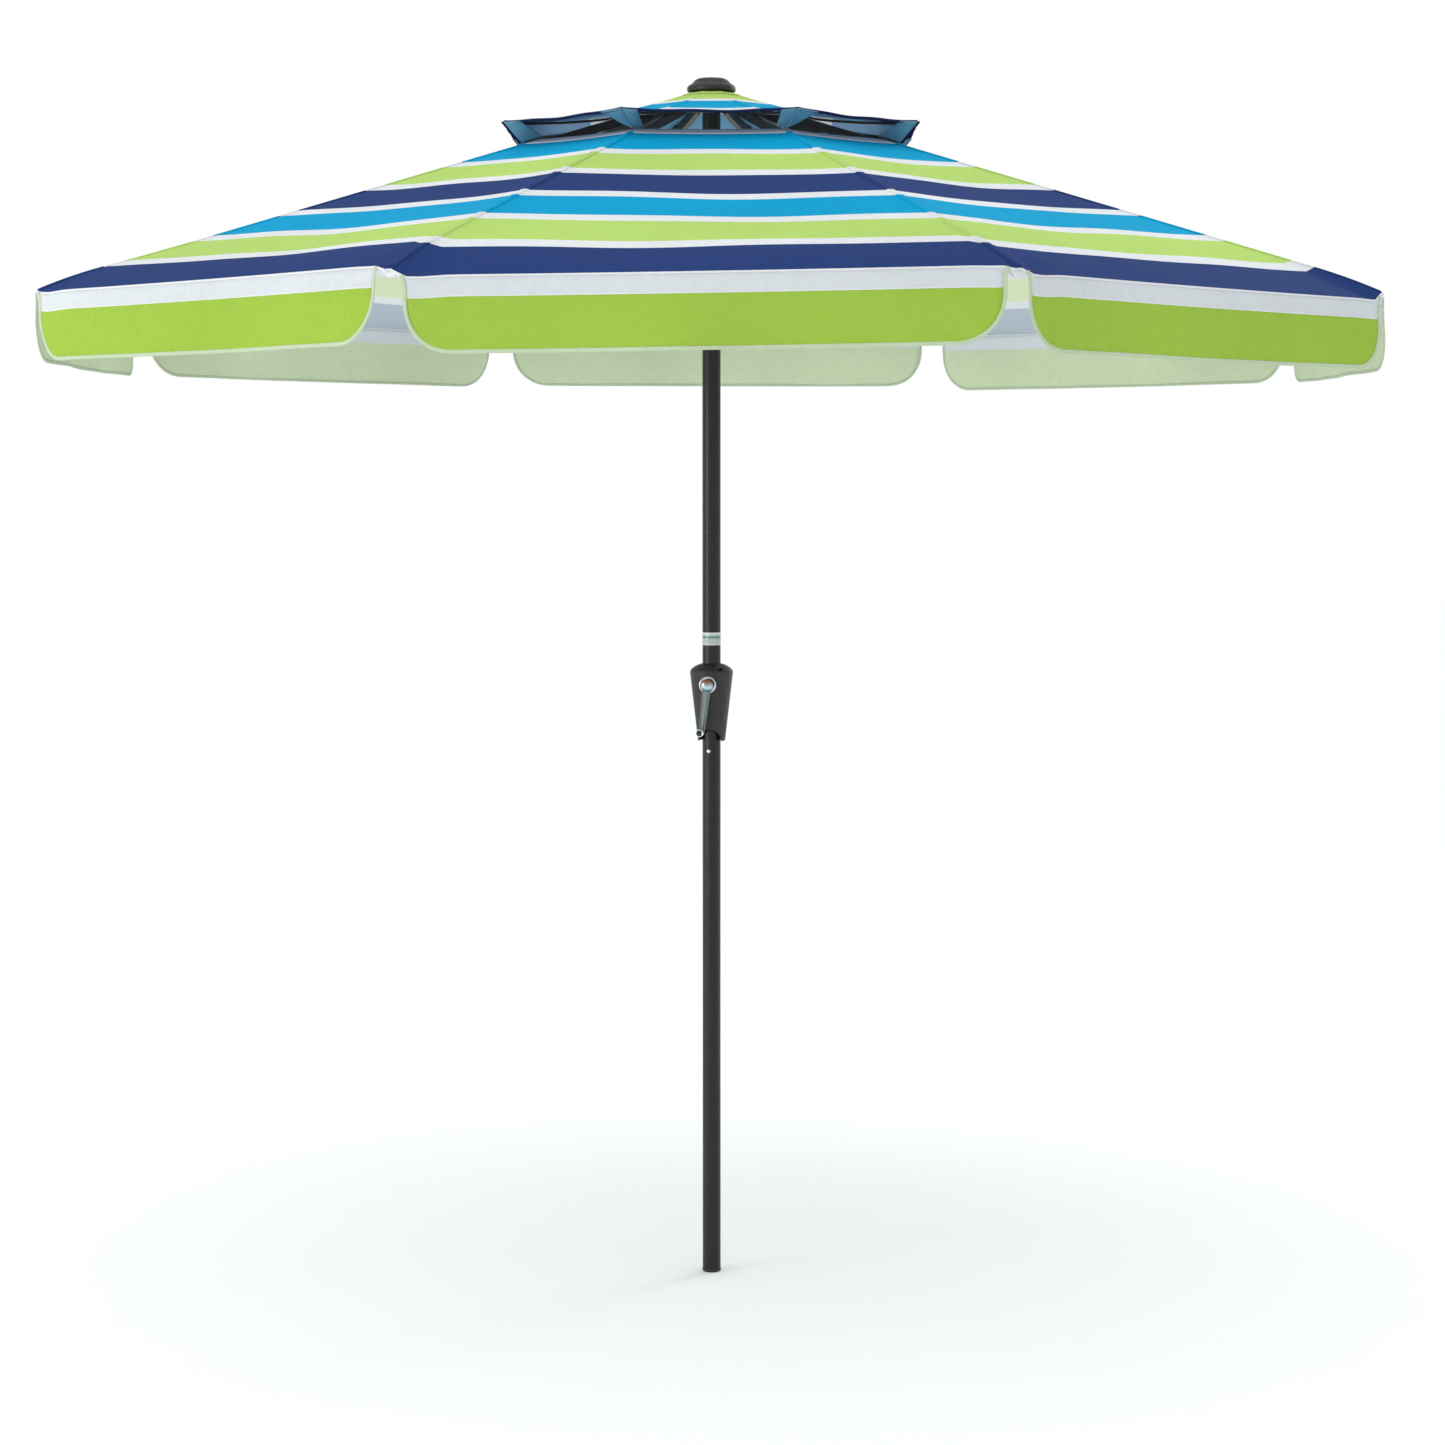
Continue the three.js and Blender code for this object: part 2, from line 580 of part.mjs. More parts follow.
function flap() {
  const halfWidth = RIM_R * Math.sin(SECTOR / 2) - FLAP_INSET;
  const rimN = RIM_R * Math.cos(SECTOR / 2);
  const outline = new THREE.Shape();
  outline.moveTo(-halfWidth, 0);
  outline.lineTo(-halfWidth, -FLAP_SIDE);
  const [arcX, arcZ] = [halfWidth - FLAP_CORNER_R, -FLAP_H + FLAP_CORNER_R];
  outline.absarc(-arcX, arcZ, FLAP_CORNER_R, Math.PI, 1.5 * Math.PI, false);
  outline.absarc(arcX, arcZ, FLAP_CORNER_R, 1.5 * Math.PI, 2 * Math.PI, false);
  outline.lineTo(halfWidth, 0);
  const sheet = new THREE.ExtrudeGeometry(outline, { depth: FLAP_T, bevelEnabled: false, curveSegments: 3 });
  sheet.rotateX(Math.PI / 2).rotateZ(Math.PI / 2).translate(rimN - 2.2, 0, RIM_Z - FABRIC - 0.6);
  return solid(sheet);
}

function topTier() {
  const outer = [];
  const steps = 7;
  for (let i = 0; i <= steps; i++) {
    const t = i / steps;
    outer.push([TIER_TOP_R + (TIER_R - TIER_TOP_R) * t, TIER_RIM_Z + TIER_RISE * (1 - t) ** 2]);
  }
  outer.unshift([12, TIER_RIM_Z + TIER_RISE + 2]);
  const inner = outer.map(([r, z]) => [r, z - FABRIC]).reverse();
  return turnedRing([...outer, ...inner], RIB_COUNT, CORNER_START);
}

const wedge = sector(RIM_R + 60, RIM_Z - 200, CANOPY_TOP_Z + 60);
const panel = canopyShell().intersect(wedge);
for (let k = 1; k <= RIB_COUNT; k++) {
  place(`canopy_panel_${k}`, panel, panelFabric, panelTurn(k));
}
for (let k = 1; k <= RIB_COUNT; k++) {
  place(`valance_${k}`, flap(), flapFabric, panelTurn(k));
}
place('top_canopy', topTier(), tierFabric);

export default group;
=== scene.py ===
"""Market umbrella: the fabric, the fine round parts and every finish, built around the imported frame.
Metres, +Z up, front towards -Y. Pieces are made in their body's place at rest and ride on that body."""
import math

import bmesh
import bpy
from mathutils import Matrix, Vector


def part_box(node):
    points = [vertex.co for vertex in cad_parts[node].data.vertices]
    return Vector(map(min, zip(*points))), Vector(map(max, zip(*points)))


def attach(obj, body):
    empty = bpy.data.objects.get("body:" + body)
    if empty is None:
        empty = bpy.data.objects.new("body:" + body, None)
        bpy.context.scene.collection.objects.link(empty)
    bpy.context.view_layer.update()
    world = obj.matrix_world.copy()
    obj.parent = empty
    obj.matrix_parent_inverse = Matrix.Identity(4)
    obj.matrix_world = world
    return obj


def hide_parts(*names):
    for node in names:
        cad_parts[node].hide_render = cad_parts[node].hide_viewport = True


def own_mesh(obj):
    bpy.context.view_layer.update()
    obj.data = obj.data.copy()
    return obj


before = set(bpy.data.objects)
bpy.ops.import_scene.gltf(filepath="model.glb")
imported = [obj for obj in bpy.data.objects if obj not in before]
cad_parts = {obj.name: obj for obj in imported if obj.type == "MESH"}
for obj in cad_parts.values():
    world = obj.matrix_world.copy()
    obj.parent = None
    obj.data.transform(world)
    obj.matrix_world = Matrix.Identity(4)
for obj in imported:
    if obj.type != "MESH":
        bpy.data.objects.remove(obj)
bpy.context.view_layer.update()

# ---- sizes -------------------------------------------

PANELS = 8
SECTOR = 2 * math.pi / PANELS
HALF = SECTOR / 2
FRONT = -math.pi / 2
# Cloth is shaped with the middle of its panel, or its rib, along +X, and then turned to its place.
OUT = Vector((1, 0, 0))
UP = Vector((0, 0, 1))

# N is a distance from the pole at the middle of a panel, R one at its corners.
RIM_N = -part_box("canopy_panel_1")[0].y
RIM_R = RIM_N / math.cos(HALF)
VENT_N = -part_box("canopy_panel_1")[1].y
# Half a panel's width at the rim and at the vent.
RIM_HALF = RIM_N * math.tan(HALF)
RIB_SLOPE = 1 / math.tan(math.radians(72.54))
FABRIC_TOP = (0.040, 2.466)  # radius and height of the fabric over a rib, near the hub
DIP_START_R = 1.268
DIP = 0.0092  # how far the rim hangs under the ribs' straight line
CORNER_CUT = 0.0079  # how much of each corner the rib pocket cuts off, along the rib
# How far each panel's rim sits above its true line at its left and right ends, seen from outside:
# a hand-sewn canopy never hangs quite level.
RIM_ENDS = {
    1: (-0.0100, 0.0070), 2: (-0.0050, -0.0125), 3: (-0.0125, -0.0080), 4: (-0.0060, -0.0060),
    5: (0.0060, 0.0080), 6: (0.0030, 0.0100), 7: (0.0060, 0.0060), 8: (0.0040, 0.0080),
}
FABRIC_T = 0.0008  # thickness

FLAP_H = 0.131
FLAP_SIDE = 0.046  # the straight part of its sides, above its rounded corners
FLAP_R = FLAP_H - FLAP_SIDE
# How far each flap's left and right sides stand in from the rim's corners, seen from outside.
FLAP_ENDS = {
    1: (0.027, 0.025), 2: (0.020, 0.021), 3: (0.022, 0.022), 4: (0.024, 0.028),
    5: (0.032, 0.036), 6: (0.030, 0.036), 7: (0.024, 0.022), 8: (0.019, 0.033),
}
BINDING_W = 0.0068

TIER_R = 0.452
TIER_RIM_Z = 2.395
TIER_RISE = 0.073
TIER_TOP_R = 0.045

POLE_R = 0.019
CRANK_Z = 1.247
DOME_R = 0.012
CRANK_TURN = math.radians(-10)


def smooth(t):
    t = min(max(t, 0.0), 1.0)
    return t * t * (3 - 2 * t)


def panel_azimuth(k):
    return FRONT + SECTOR * (k - 1)


def rib_azimuth(k):
    return FRONT + SECTOR * (k - 0.5)


# ---- camera, lights and floor ------------------------

LENS_MM = 83.46
CAMERA_PLACE = (0.0657, -6.9985, 1.678)
LOOK_DOWN = math.radians(4.19)
LOOK_LEFT = math.radians(0.35)


def make_camera():
    data = bpy.data.cameras.new("camera")
    data.lens = LENS_MM
    data.sensor_width = 36
    camera = bpy.data.objects.new("camera", data)
    camera.location = CAMERA_PLACE
    camera.rotation_euler = (math.pi / 2 - LOOK_DOWN, 0, LOOK_LEFT)
    bpy.context.scene.collection.objects.link(camera)
    bpy.context.scene.camera = camera


def area_light(name, place, target, size, watts, colour=(1, 1, 1)):
    data = bpy.data.lights.new(name, "AREA")
    data.shape = "DISK"
    data.size = size
    data.energy = watts
    data.color = colour
    light = bpy.data.objects.new(name, data)
    light.location = place
    light.rotation_euler = (Vector(target) - Vector(place)).to_track_quat("-Z", "Y").to_euler()
    bpy.context.scene.collection.objects.link(light)


def make_studio():
    """Soft, nearly shadowless light, with a white world behind everything."""
    world = bpy.data.worlds.new("studio")
    bpy.context.scene.world = world
    world.use_nodes = True
    nodes, link = world.node_tree.nodes, world.node_tree.links.new
    nodes.clear()
    kinds = ("OutputWorld", "Background", "Background", "LightPath", "MixShader")
    output, seen, lit, path, mix = [nodes.new("ShaderNode" + kind) for kind in kinds]
    seen.inputs["Color"].default_value = (1, 1, 1, 1)
    lit.inputs["Color"].default_value = (0.98, 0.99, 1, 1)
    lit.inputs["Strength"].default_value = 0.84
    link(path.outputs["Is Camera Ray"], mix.inputs["Fac"])
    link(lit.outputs[0], mix.inputs[1])
    link(seen.outputs[0], mix.inputs[2])
    link(mix.outputs[0], output.inputs["Surface"])
    area_light("key", (-6.5, -4.2, 1.7), (0, 0, 1.9), 2.5, 130, (1, 0.99, 0.97))
    area_light("back", (4.5, 5.0, 4.5), (0, 0, 2.2), 3.0, 90)
    sun = bpy.data.lights.new("overhead", "SUN")
    sun.energy = 0.55
    sun.angle = math.radians(70)
    overhead = bpy.data.objects.new("overhead", sun)
    overhead.rotation_euler = (math.radians(18), math.radians(-8), 0)
    bpy.context.scene.collection.objects.link(overhead)
    view = bpy.context.scene.view_settings
    view.view_transform = "Standard"
    view.look = "None"


def make_floor(material):
    bpy.ops.mesh.primitive_circle_add(vertices=96, radius=40, fill_type="NGON")
    floor = bpy.context.object
    floor.name = "floor"
    floor.data.materials.append(material)


# ---- materials ---------------------------------------


def srgb(r, g, b):
    """An 8-bit display colour as a linear RGBA colour."""
    def linear(v):
        v /= 255
        return v / 12.92 if v <= 0.04045 else ((v + 0.055) / 1.055) ** 2.4
    return (linear(r), linear(g), linear(b), 1)


class Nodes:
    """A material's node tree with short ways to add and join nodes."""

    def __init__(self, name):
        self.material = bpy.data.materials.new(name)
        self.material.use_nodes = True
        self.tree = self.material.node_tree
        self.shader = self.tree.nodes["Principled BSDF"]
        self.output = self.tree.nodes["Material Output"]

    def add(self, kind, **settings):
        node = self.tree.nodes.new("ShaderNode" + kind)
        for key, value in settings.items():
            if hasattr(node, key):
                setattr(node, key, value)
            else:
                node.inputs[key.replace("_", " ")].default_value = value
        return node

    def link(self, source, target):
        self.tree.links.new(source, target)

    def feed(self, **sources):
        """Links node outputs to the shader's sockets, by name."""
        for key, source in sources.items():
            self.link(source, self.shader.inputs[key.replace("_", " ")])

    def set(self, **values):
        """Sets the shader's own sockets, by name."""
        for key, value in values.items():
            self.shader.inputs[key.replace("_", " ")].default_value = value

    def noise(self, scale, detail):
        """Noise over the piece's own place in metres; its scale is in grains to the metre."""
        node = self.add("TexNoise", Scale=scale, Detail=detail)
        self.link(self.add("TexCoord").outputs["Object"], node.inputs["Vector"])
        return node.outputs["Fac"]

    def cloth_place(self):
        """The mesh's own map, in metres on cloth: the whole of it, and its distance down."""
        uv = self.add("UVMap", uv_map="cloth").outputs["UV"]
        split = self.add("SeparateXYZ")
        self.link(uv, split.inputs[0])
        return uv, split.outputs["Y"]

    def grey_ramp(self, factor, low, high, start=0.3, end=0.7):
        """A ramp between two greys, which are roughness values or shades."""
        return self.ramp(factor, [(start, (low, low, low, 1)), (end, (high, high, high, 1))])

    def bump(self, height, strength, distance, before=None):
        node = self.add("Bump", Strength=strength, Distance=distance)
        self.link(height, node.inputs["Height"])
        if before is not None:
            self.link(before, node.inputs["Normal"])
        return node.outputs["Normal"]

    def ramp(self, factor, stops, interpolation="LINEAR"):
        node = self.add("ValToRGB")
        node.color_ramp.interpolation = interpolation
        elements = node.color_ramp.elements
        while len(elements) > 1:
            elements.remove(elements[-1])
        elements[0].position = stops[0][0]
        elements[0].color = stops[0][1]
        for position, colour in stops[1:]:
            elements.new(position).color = colour
        self.link(factor, node.inputs["Fac"])
        return node.outputs["Color"]

    def multiply_colour(self, colour, factor, low, high):
        """Darkens and lightens a colour with a factor, between two shades of grey."""
        shade = self.grey_ramp(factor, low, high)
        mix = self.add("MixRGB", blend_type="MULTIPLY", Fac=1.0)
        self.link(colour, mix.inputs["Color1"])
        self.link(shade, mix.inputs["Color2"])
        return mix.outputs["Color"]


# The flaps carry the cloth's green and white. The two lighter copies of them, used on the panels, the
# tier and the rim tape, are painted light for the canopy's lit top.
GREEN = srgb(172, 208, 82)
LIT_TOP_GREEN = srgb(204, 238, 130)
BLUE = srgb(0, 181, 231)
NAVY = srgb(46, 72, 134)
LIT_TOP_WHITE = srgb(250, 253, 255)
FLAP_WHITE = srgb(230, 236, 240)
FLAP_BINDING = srgb(214, 230, 198)
VENT_BINDING = srgb(214, 220, 232)
# The cloth's back: the print's paler reverse, lightened further as painted light that comes through the
# cloth.
PALE_BACK_AND_LIGHT_THROUGH = {
    "green": srgb(236, 246, 214),
    "blue": srgb(160, 206, 228),
    "navy": srgb(206, 218, 230),
    "white": srgb(240, 244, 246),
}
# The top's colours: its green and white are the lighter copies, painted light.
FACE = {"green": LIT_TOP_GREEN, "blue": BLUE, "navy": NAVY, "white": LIT_TOP_WHITE}
FLAP = {"green": GREEN, "white": FLAP_WHITE}
# The tier's back, striped like its face in darker copies of the back colours: painted shade under the
# tier.
SHADED_UNDER_TIER = {
    "green": srgb(168, 196, 150),
    "blue": srgb(118, 172, 202),
    "navy": srgb(118, 158, 192),
    "white": srgb(206, 216, 226),
}

# Stripes of the big panels, by distance up the slope from the rim, in metres.
PANEL_STRIPES = [
    (0.000, "navy"), (0.132, "white"), (0.172, "green"), (0.302, "white"), (0.342, "blue"),
    (0.470, "white"), (0.510, "navy"), (0.643, "white"), (0.681, "green"), (0.803, "white"),
    (0.838, "blue"),
]
# Stripes of the top tier, by distance out from the pole.
TIER_STRIPES = [(0.0, "green"), (0.100, "white"), (0.120, "blue"), (0.204, "white"), (0.249, "navy")]
# Stripes of a flap, by distance down from its top edge.
FLAP_STRIPES = [(0.0, "white"), (0.0345, "green")]


THREADS = 130  # scale of the weave's waves
THROUGH = 0.22  # share of the light that goes through a cloth


def fabric(name, stripes, colours):
    """Woven polyester, striped along the mesh's V coordinate, which is in metres."""
    n = Nodes(name)
    uv, down = n.cloth_place()
    stops = [(position, colours[colour]) for position, colour in stripes]
    colour = n.ramp(down, stops, "CONSTANT")
    colour = n.multiply_colour(colour, n.noise(2.2, 3), 0.95, 1.03)
    colour = n.multiply_colour(colour, n.noise(70, 6), 0.97, 1.02)
    warp = n.add("TexWave", wave_type="BANDS", bands_direction="X", Scale=THREADS, Distortion=0.4)
    weft = n.add("TexWave", wave_type="BANDS", bands_direction="Y", Scale=THREADS, Distortion=0.4)
    n.link(uv, warp.inputs["Vector"])
    n.link(uv, weft.inputs["Vector"])
    cross = n.add("Math", operation="MULTIPLY")
    n.link(warp.outputs["Fac"], cross.inputs[0])
    n.link(weft.outputs["Fac"], cross.inputs[1])
    normal = n.bump(cross.outputs[0], 0.25, 0.0006)
    normal = n.bump(n.noise(9, 4), 0.12, 0.012, normal)
    colour = n.multiply_colour(colour, cross.outputs[0], 0.93, 1.0)
    n.feed(Base_Color=colour, Normal=normal)
    n.set(Roughness=0.8, Sheen_Weight=0.015, Sheen_Roughness=0.4, Specular_IOR_Level=0.05)
    through = n.add("BsdfTranslucent")
    n.link(colour, through.inputs["Color"])
    n.link(normal, through.inputs["Normal"])
    mix = n.add("MixShader")
    mix.inputs["Fac"].default_value = THROUGH
    n.link(n.shader.outputs[0], mix.inputs[1])
    n.link(through.outputs[0], mix.inputs[2])
    n.link(mix.outputs[0], n.output.inputs["Surface"])
    return n.material


def shaded(colour, factor):
    """A colour made lighter or darker."""
    return tuple(min(1, c * factor) for c in colour[:3]) + (1,)


def coated_metal(name, colour):
    """Powder coat: a fine orange-peel skin, rubbed a little lighter where noise is high."""
    n = Nodes(name)
    base = n.ramp(n.noise(35, 5), [(0.35, colour), (0.75, shaded(colour, 1.35))])
    rough = n.grey_ramp(n.noise(120, 3), 0.36, 0.50)
    n.feed(Base_Color=base, Roughness=rough, Normal=n.bump(n.noise(900, 2), 0.18, 0.0004))
    n.set(Metallic=0.35, Coat_Weight=0.15, Coat_Roughness=0.3)
    return n.material


def moulded_plastic(name, colour, roughness):
    """A moulding with a fine grain, which shines a little more here and less there."""
    n = Nodes(name)
    base = n.ramp(n.noise(28, 4), [(0.3, colour), (0.75, shaded(colour, 1.25))])
    rough = n.grey_ramp(n.noise(60, 4), roughness - 0.07, roughness + 0.07)
    n.feed(Base_Color=base, Roughness=rough, Normal=n.bump(n.noise(1400, 2), 0.22, 0.0003))
    return n.material


def polished_metal(name, colour, roughness, scratches):
    """Bright metal, dulled in patches, with fine scratches."""
    n = Nodes(name)
    base = n.ramp(n.noise(40, 3), [(0.3, colour), (0.8, shaded(colour, 0.88))])
    rough = n.grey_ramp(n.noise(260, 5), roughness, roughness + 0.14, 0.35, 0.8)
    n.feed(Base_Color=base, Roughness=rough, Normal=n.bump(n.noise(700, 4), scratches, 0.0002))
    n.set(Metallic=1.0)
    return n.material


def tinted_chrome(name):
    """A chrome dome coloured by height: blue below, grey-white across its middle and warm above."""
    n = Nodes(name)
    place = n.add("SeparateXYZ")
    n.link(n.add("TexCoord").outputs["Object"], place.inputs[0])
    level = n.add("MapRange")
    level.inputs["From Min"].default_value = CRANK_Z - DOME_R
    level.inputs["From Max"].default_value = CRANK_Z + DOME_R
    n.link(place.outputs["Z"], level.inputs["Value"])
    swirl = n.add("Math", operation="MULTIPLY_ADD")
    n.link(n.noise(160, 3), swirl.inputs[0])
    swirl.inputs[1].default_value = 0.5
    n.link(level.outputs["Result"], swirl.inputs[2])
    stops = [
        (0.25, srgb(60, 128, 158)), (0.55, srgb(196, 214, 220)),
        (0.80, srgb(150, 168, 172)), (1.0, srgb(176, 120, 100)),
    ]
    n.feed(Base_Color=n.ramp(swirl.outputs[0], stops), Normal=n.bump(n.noise(500, 3), 0.05, 0.0002))
    n.set(Metallic=1.0, Roughness=0.12)
    return n.material


def braided_cord(name):
    """Off-white cord with the diagonal ribs of its braid."""
    n = Nodes(name)
    twist = n.add("TexWave", wave_type="BANDS", bands_direction="DIAGONAL", Scale=220.0, Distortion=0.6)
    n.link(n.add("TexCoord").outputs["Object"], twist.inputs["Vector"])
    base = n.ramp(twist.outputs["Fac"], [(0.1, srgb(170, 166, 154)), (0.6, srgb(222, 219, 208))])
    n.feed(Base_Color=base, Normal=n.bump(twist.outputs["Fac"], 0.5, 0.0006))
    n.set(Roughness=0.85)
    return n.material


def sticker(name):
    """A plain printed band: pale grey with one soft green bar, and no lettering."""
    n = Nodes(name)
    _, up = n.cloth_place()
    grey, pale, bar = srgb(176, 184, 182), srgb(214, 218, 216), srgb(88, 132, 116)
    stops = [
        (0.0, pale), (0.10, grey), (0.52, grey), (0.56, bar), (0.70, bar), (0.74, grey), (0.92, pale),
    ]
    n.feed(Base_Color=n.multiply_colour(n.ramp(up, stops), n.noise(90, 3), 0.94, 1.0))
    n.set(Roughness=0.4, Coat_Weight=0.3)
    return n.material


def floor_finish():
    n = Nodes("floor_white")
    n.feed(Base_Color=n.grey_ramp(n.noise(0.6, 2), 0.955, 0.965))
    n.set(Roughness=0.9, Emission_Color=(1, 1, 1, 1), Emission_Strength=0.05)
    return n.material


BRONZE = coated_metal("bronze_coat", srgb(19, 16, 13))
DARK_PLASTIC = moulded_plastic("dark_plastic", srgb(29, 27, 25), 0.5)
BLACK_PLASTIC = moulded_plastic("black_plastic", srgb(22, 22, 22), 0.45)
GREY_PLASTIC = moulded_plastic("grey_plastic", srgb(112, 124, 124), 0.32)
CHROME = polished_metal("chrome", srgb(226, 230, 234), 0.05, 0.04)
CAP_CHROME = tinted_chrome("tinted_chrome")
STEEL = polished_metal("zinc_steel", srgb(176, 178, 178), 0.28, 0.12)
CORD = braided_cord("braided_cord")
STICKER = sticker("pole_sticker")
PANEL_FACE = fabric("panel_face", PANEL_STRIPES, FACE)
PANEL_BACK = fabric("panel_back", PANEL_STRIPES, PALE_BACK_AND_LIGHT_THROUGH)
FLAP_FACE = fabric("flap_face", FLAP_STRIPES, FLAP)
FLAP_BACK = fabric("flap_back", FLAP_STRIPES, PALE_BACK_AND_LIGHT_THROUGH)
TIER_FACE = fabric("tier_face", TIER_STRIPES, FACE)
TIER_BACK = fabric("tier_back", TIER_STRIPES, SHADED_UNDER_TIER)
RIM_TAPE = fabric("rim_tape", [(0.0, "white")], FACE)
FLAP_TAPE = fabric("flap_tape", [(0.0, "tape")], {"tape": FLAP_BINDING})
VENT_TAPE = fabric("vent_tape", [(0.0, "tape")], {"tape": VENT_BINDING})
NAVY_TAPE = fabric("navy_tape", [(0.0, "navy")], {"navy": srgb(34, 44, 84)})
POCKET_CLOTH = fabric("pocket_cloth", [(0.0, "blue")], {"blue": srgb(126, 176, 200)})

# ---- mesh helpers ------------------------------------


def add_object(name, verts, faces, uvs, materials, turn=0.0):
    """A mesh object with a UV map named cloth; uvs holds one pair per vertex."""
    mesh = bpy.data.meshes.new(name)
    mesh.from_pydata([tuple(v) for v in verts], [], faces)
    layer = mesh.uv_layers.new(name="cloth")
    for loop in mesh.loops:
        layer.data[loop.index].uv = uvs[loop.vertex_index]
    for polygon in mesh.polygons:
        polygon.use_smooth = True
    for material in materials:
        mesh.materials.append(material)
    mesh.transform(Matrix.Rotation(turn, 4, "Z"))
    obj = bpy.data.objects.new(name, mesh)
    bpy.context.scene.collection.objects.link(obj)
    return obj


def grid_faces(rows, columns, flip=False, wrap=False):
    """Four-sided faces over a grid of points; a wrapped grid closes on itself across its rows."""
    faces = []
    for i in range(rows - 1):
        for j in range(columns if wrap else columns - 1):
            a = i * columns + j
            b = i * columns + (j + 1) % columns
            c = (i + 1) * columns + (j + 1) % columns
            d = (i + 1) * columns + j
            faces.append((a, d, c, b) if flip else (a, b, c, d))
    return faces


def grid_sheet(name, rows, columns, point, cloth, face, back, edge, turn, thickness=FABRIC_T):
    """A sheet from point(i, j), with its face material outside and its back material inside."""
    verts = [point(i, j) for i in range(rows) for j in range(columns)]
    uvs = [cloth(i, j, verts[i * columns + j]) for i in range(rows) for j in range(columns)]
    obj = add_object(name, verts, grid_faces(rows, columns, flip=True), uvs, [face, back, edge], turn)
    shell = obj.modifiers.new("cloth thickness", "SOLIDIFY")
    shell.thickness = thickness
    shell.offset = -1
    shell.material_offset = 1
    shell.material_offset_rim = 0
    return obj


# A tape's section, as shares of its width and thickness.
TAPE_SECTION = [
    (-0.5, -0.3), (-0.42, -0.5), (0.42, -0.5), (0.5, -0.3),
    (0.5, 0.3), (0.42, 0.5), (-0.42, 0.5), (-0.5, 0.3),
]


def tape(name, path, across, normals, widths, thickness, material, turn):
    """A folded tape along a path: its width lies along across and its thickness along the normal."""
    verts, uvs = [], []
    length = 0.0
    for i, place in enumerate(path):
        if i:
            length += (place - path[i - 1]).length
        width = widths[i] if isinstance(widths, list) else widths
        for s, t in TAPE_SECTION:
            verts.append(place + across[i] * (s * width) + normals[i] * (t * thickness))
            uvs.append((length, s * width))
    sides = len(TAPE_SECTION)
    faces = grid_faces(len(path), sides, wrap=True)
    faces.append(tuple(reversed(range(sides))))
    faces.append(tuple(range((len(path) - 1) * sides, len(path) * sides)))
    obj = add_object(name, verts, faces, uvs, [material], turn)
    fix_normals(obj)
    return obj


def ride_as(obj, body, slot, *nodes):
    """Puts a piece on its body and hides the CAD nodes that it stands for; the slot is not used."""
    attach(obj, body)
    if nodes:
        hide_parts(*nodes)


def edit_mesh(obj, change):
    """Runs change on a working copy of the piece's mesh and writes it back."""
    work = bmesh.new()
    work.from_mesh(obj.data)
    change(work)
    work.to_mesh(obj.data)
    work.free()


def fix_normals(obj):
    edit_mesh(obj, lambda work: bmesh.ops.recalc_face_normals(work, faces=work.faces))


def weld(obj):
    edit_mesh(obj, lambda work: bmesh.ops.remove_doubles(work, verts=work.verts, dist=1e-7))


def sharpen(obj, degrees):
    """Keeps creases sharper than an angle crisp on a smooth-shaded piece."""
    def mark(work):
        for edge in work.edges:
            if len(edge.link_faces) == 2 and edge.calc_face_angle(0) > math.radians(degrees):
                edge.smooth = False

    edit_mesh(obj, mark)


def lathe(name, profile, material, segments=96, frame_matrix=None, closed=False):
    """Turns [radius, height] points about Z; a closed profile makes a ring."""
    verts, uvs = [], []
    low = min(z for _, z in profile)
    height = max(z for _, z in profile) - low
    for r, z in profile:
        for j in range(segments):
            angle = 2 * math.pi * j / segments
            verts.append(Vector((r * math.cos(angle), r * math.sin(angle), z)))
            uvs.append((angle / (2 * math.pi), (z - low) / height))
    faces = grid_faces(len(profile), segments, wrap=True)
    if closed:
        last = (len(profile) - 1) * segments
        for j in range(segments):
            beside = (j + 1) % segments
            faces.append((last + j, last + beside, beside, j))
    obj = add_object(name, verts, faces, uvs, [material])
    weld(obj)
    fix_normals(obj)
    if frame_matrix is not None:
        obj.data.transform(frame_matrix)
    return obj


def rounded(profile, radius):
    """Rounds every corner of a profile, apart from its two ends, with a small arc."""
    steps = 4
    out = [profile[0]]
    for before, here, after in zip(profile, profile[1:], profile[2:]):
        p, a, b = Vector(here), Vector(before), Vector(after)
        into, away = a - p, b - p
        reach = min(radius, into.length * 0.45, away.length * 0.45)
        start, end = p + into.normalized() * reach, p + away.normalized() * reach
        for i in range(steps + 1):
            t = i / steps
            q = start * (1 - t) ** 2 + p * (2 * t * (1 - t)) + end * t * t
            out.append((q.x, q.y))
    out.append(profile[-1])
    return out


# ---- the big panels ----------------------------------

EDGE_LINES = [0.0, 0.0015, 0.0065, 0.0085]  # columns near a panel's edge, by distance from it
# The folded seam, as distances from a panel's edge, and how much higher it lies than the cloth.
SEAM_START = 0.001
SEAM_END = 0.0075
SEAM_LIFT = 0.0012
INNER_COLUMNS = 44
ROWS = 84


def panel_columns(half_width):
    """Positions across a panel, close together at the sewn edges."""
    left = [-half_width + e for e in EDGE_LINES]
    inner = half_width - EDGE_LINES[-1]
    middle = [-inner + 2 * inner * (j + 1) / (INNER_COLUMNS + 1) for j in range(INNER_COLUMNS)]
    return left + middle + [-x for x in reversed(left)]


COLUMNS = len(panel_columns(1.0))
EDGE_HANG = 0.002  # slack at a panel's upper and lower edges, and how much more at its middle
MIDDLE_HANG = 0.0035
PANEL_KEEP = 0.105  # a closed panel's width, as a share of its width at rest
ON_RIB = 0.008  # half the width of cloth that lies on a rib
BESIDE_RIB = 0.026  # from the seam to where the cloth hangs free of the rib
SEAM_LAP = 0.0002  # how far a panel runs past the middle of its ribs


def rib_line_z(r):
    """Height of the cloth over a rib, which dips a little under the rib's line near the rim."""
    z = FABRIC_TOP[1] - (r - FABRIC_TOP[0]) * RIB_SLOPE
    if r > DIP_START_R:
        z -= DIP * ((r - DIP_START_R) / (RIM_R - DIP_START_R)) ** 2
    return z


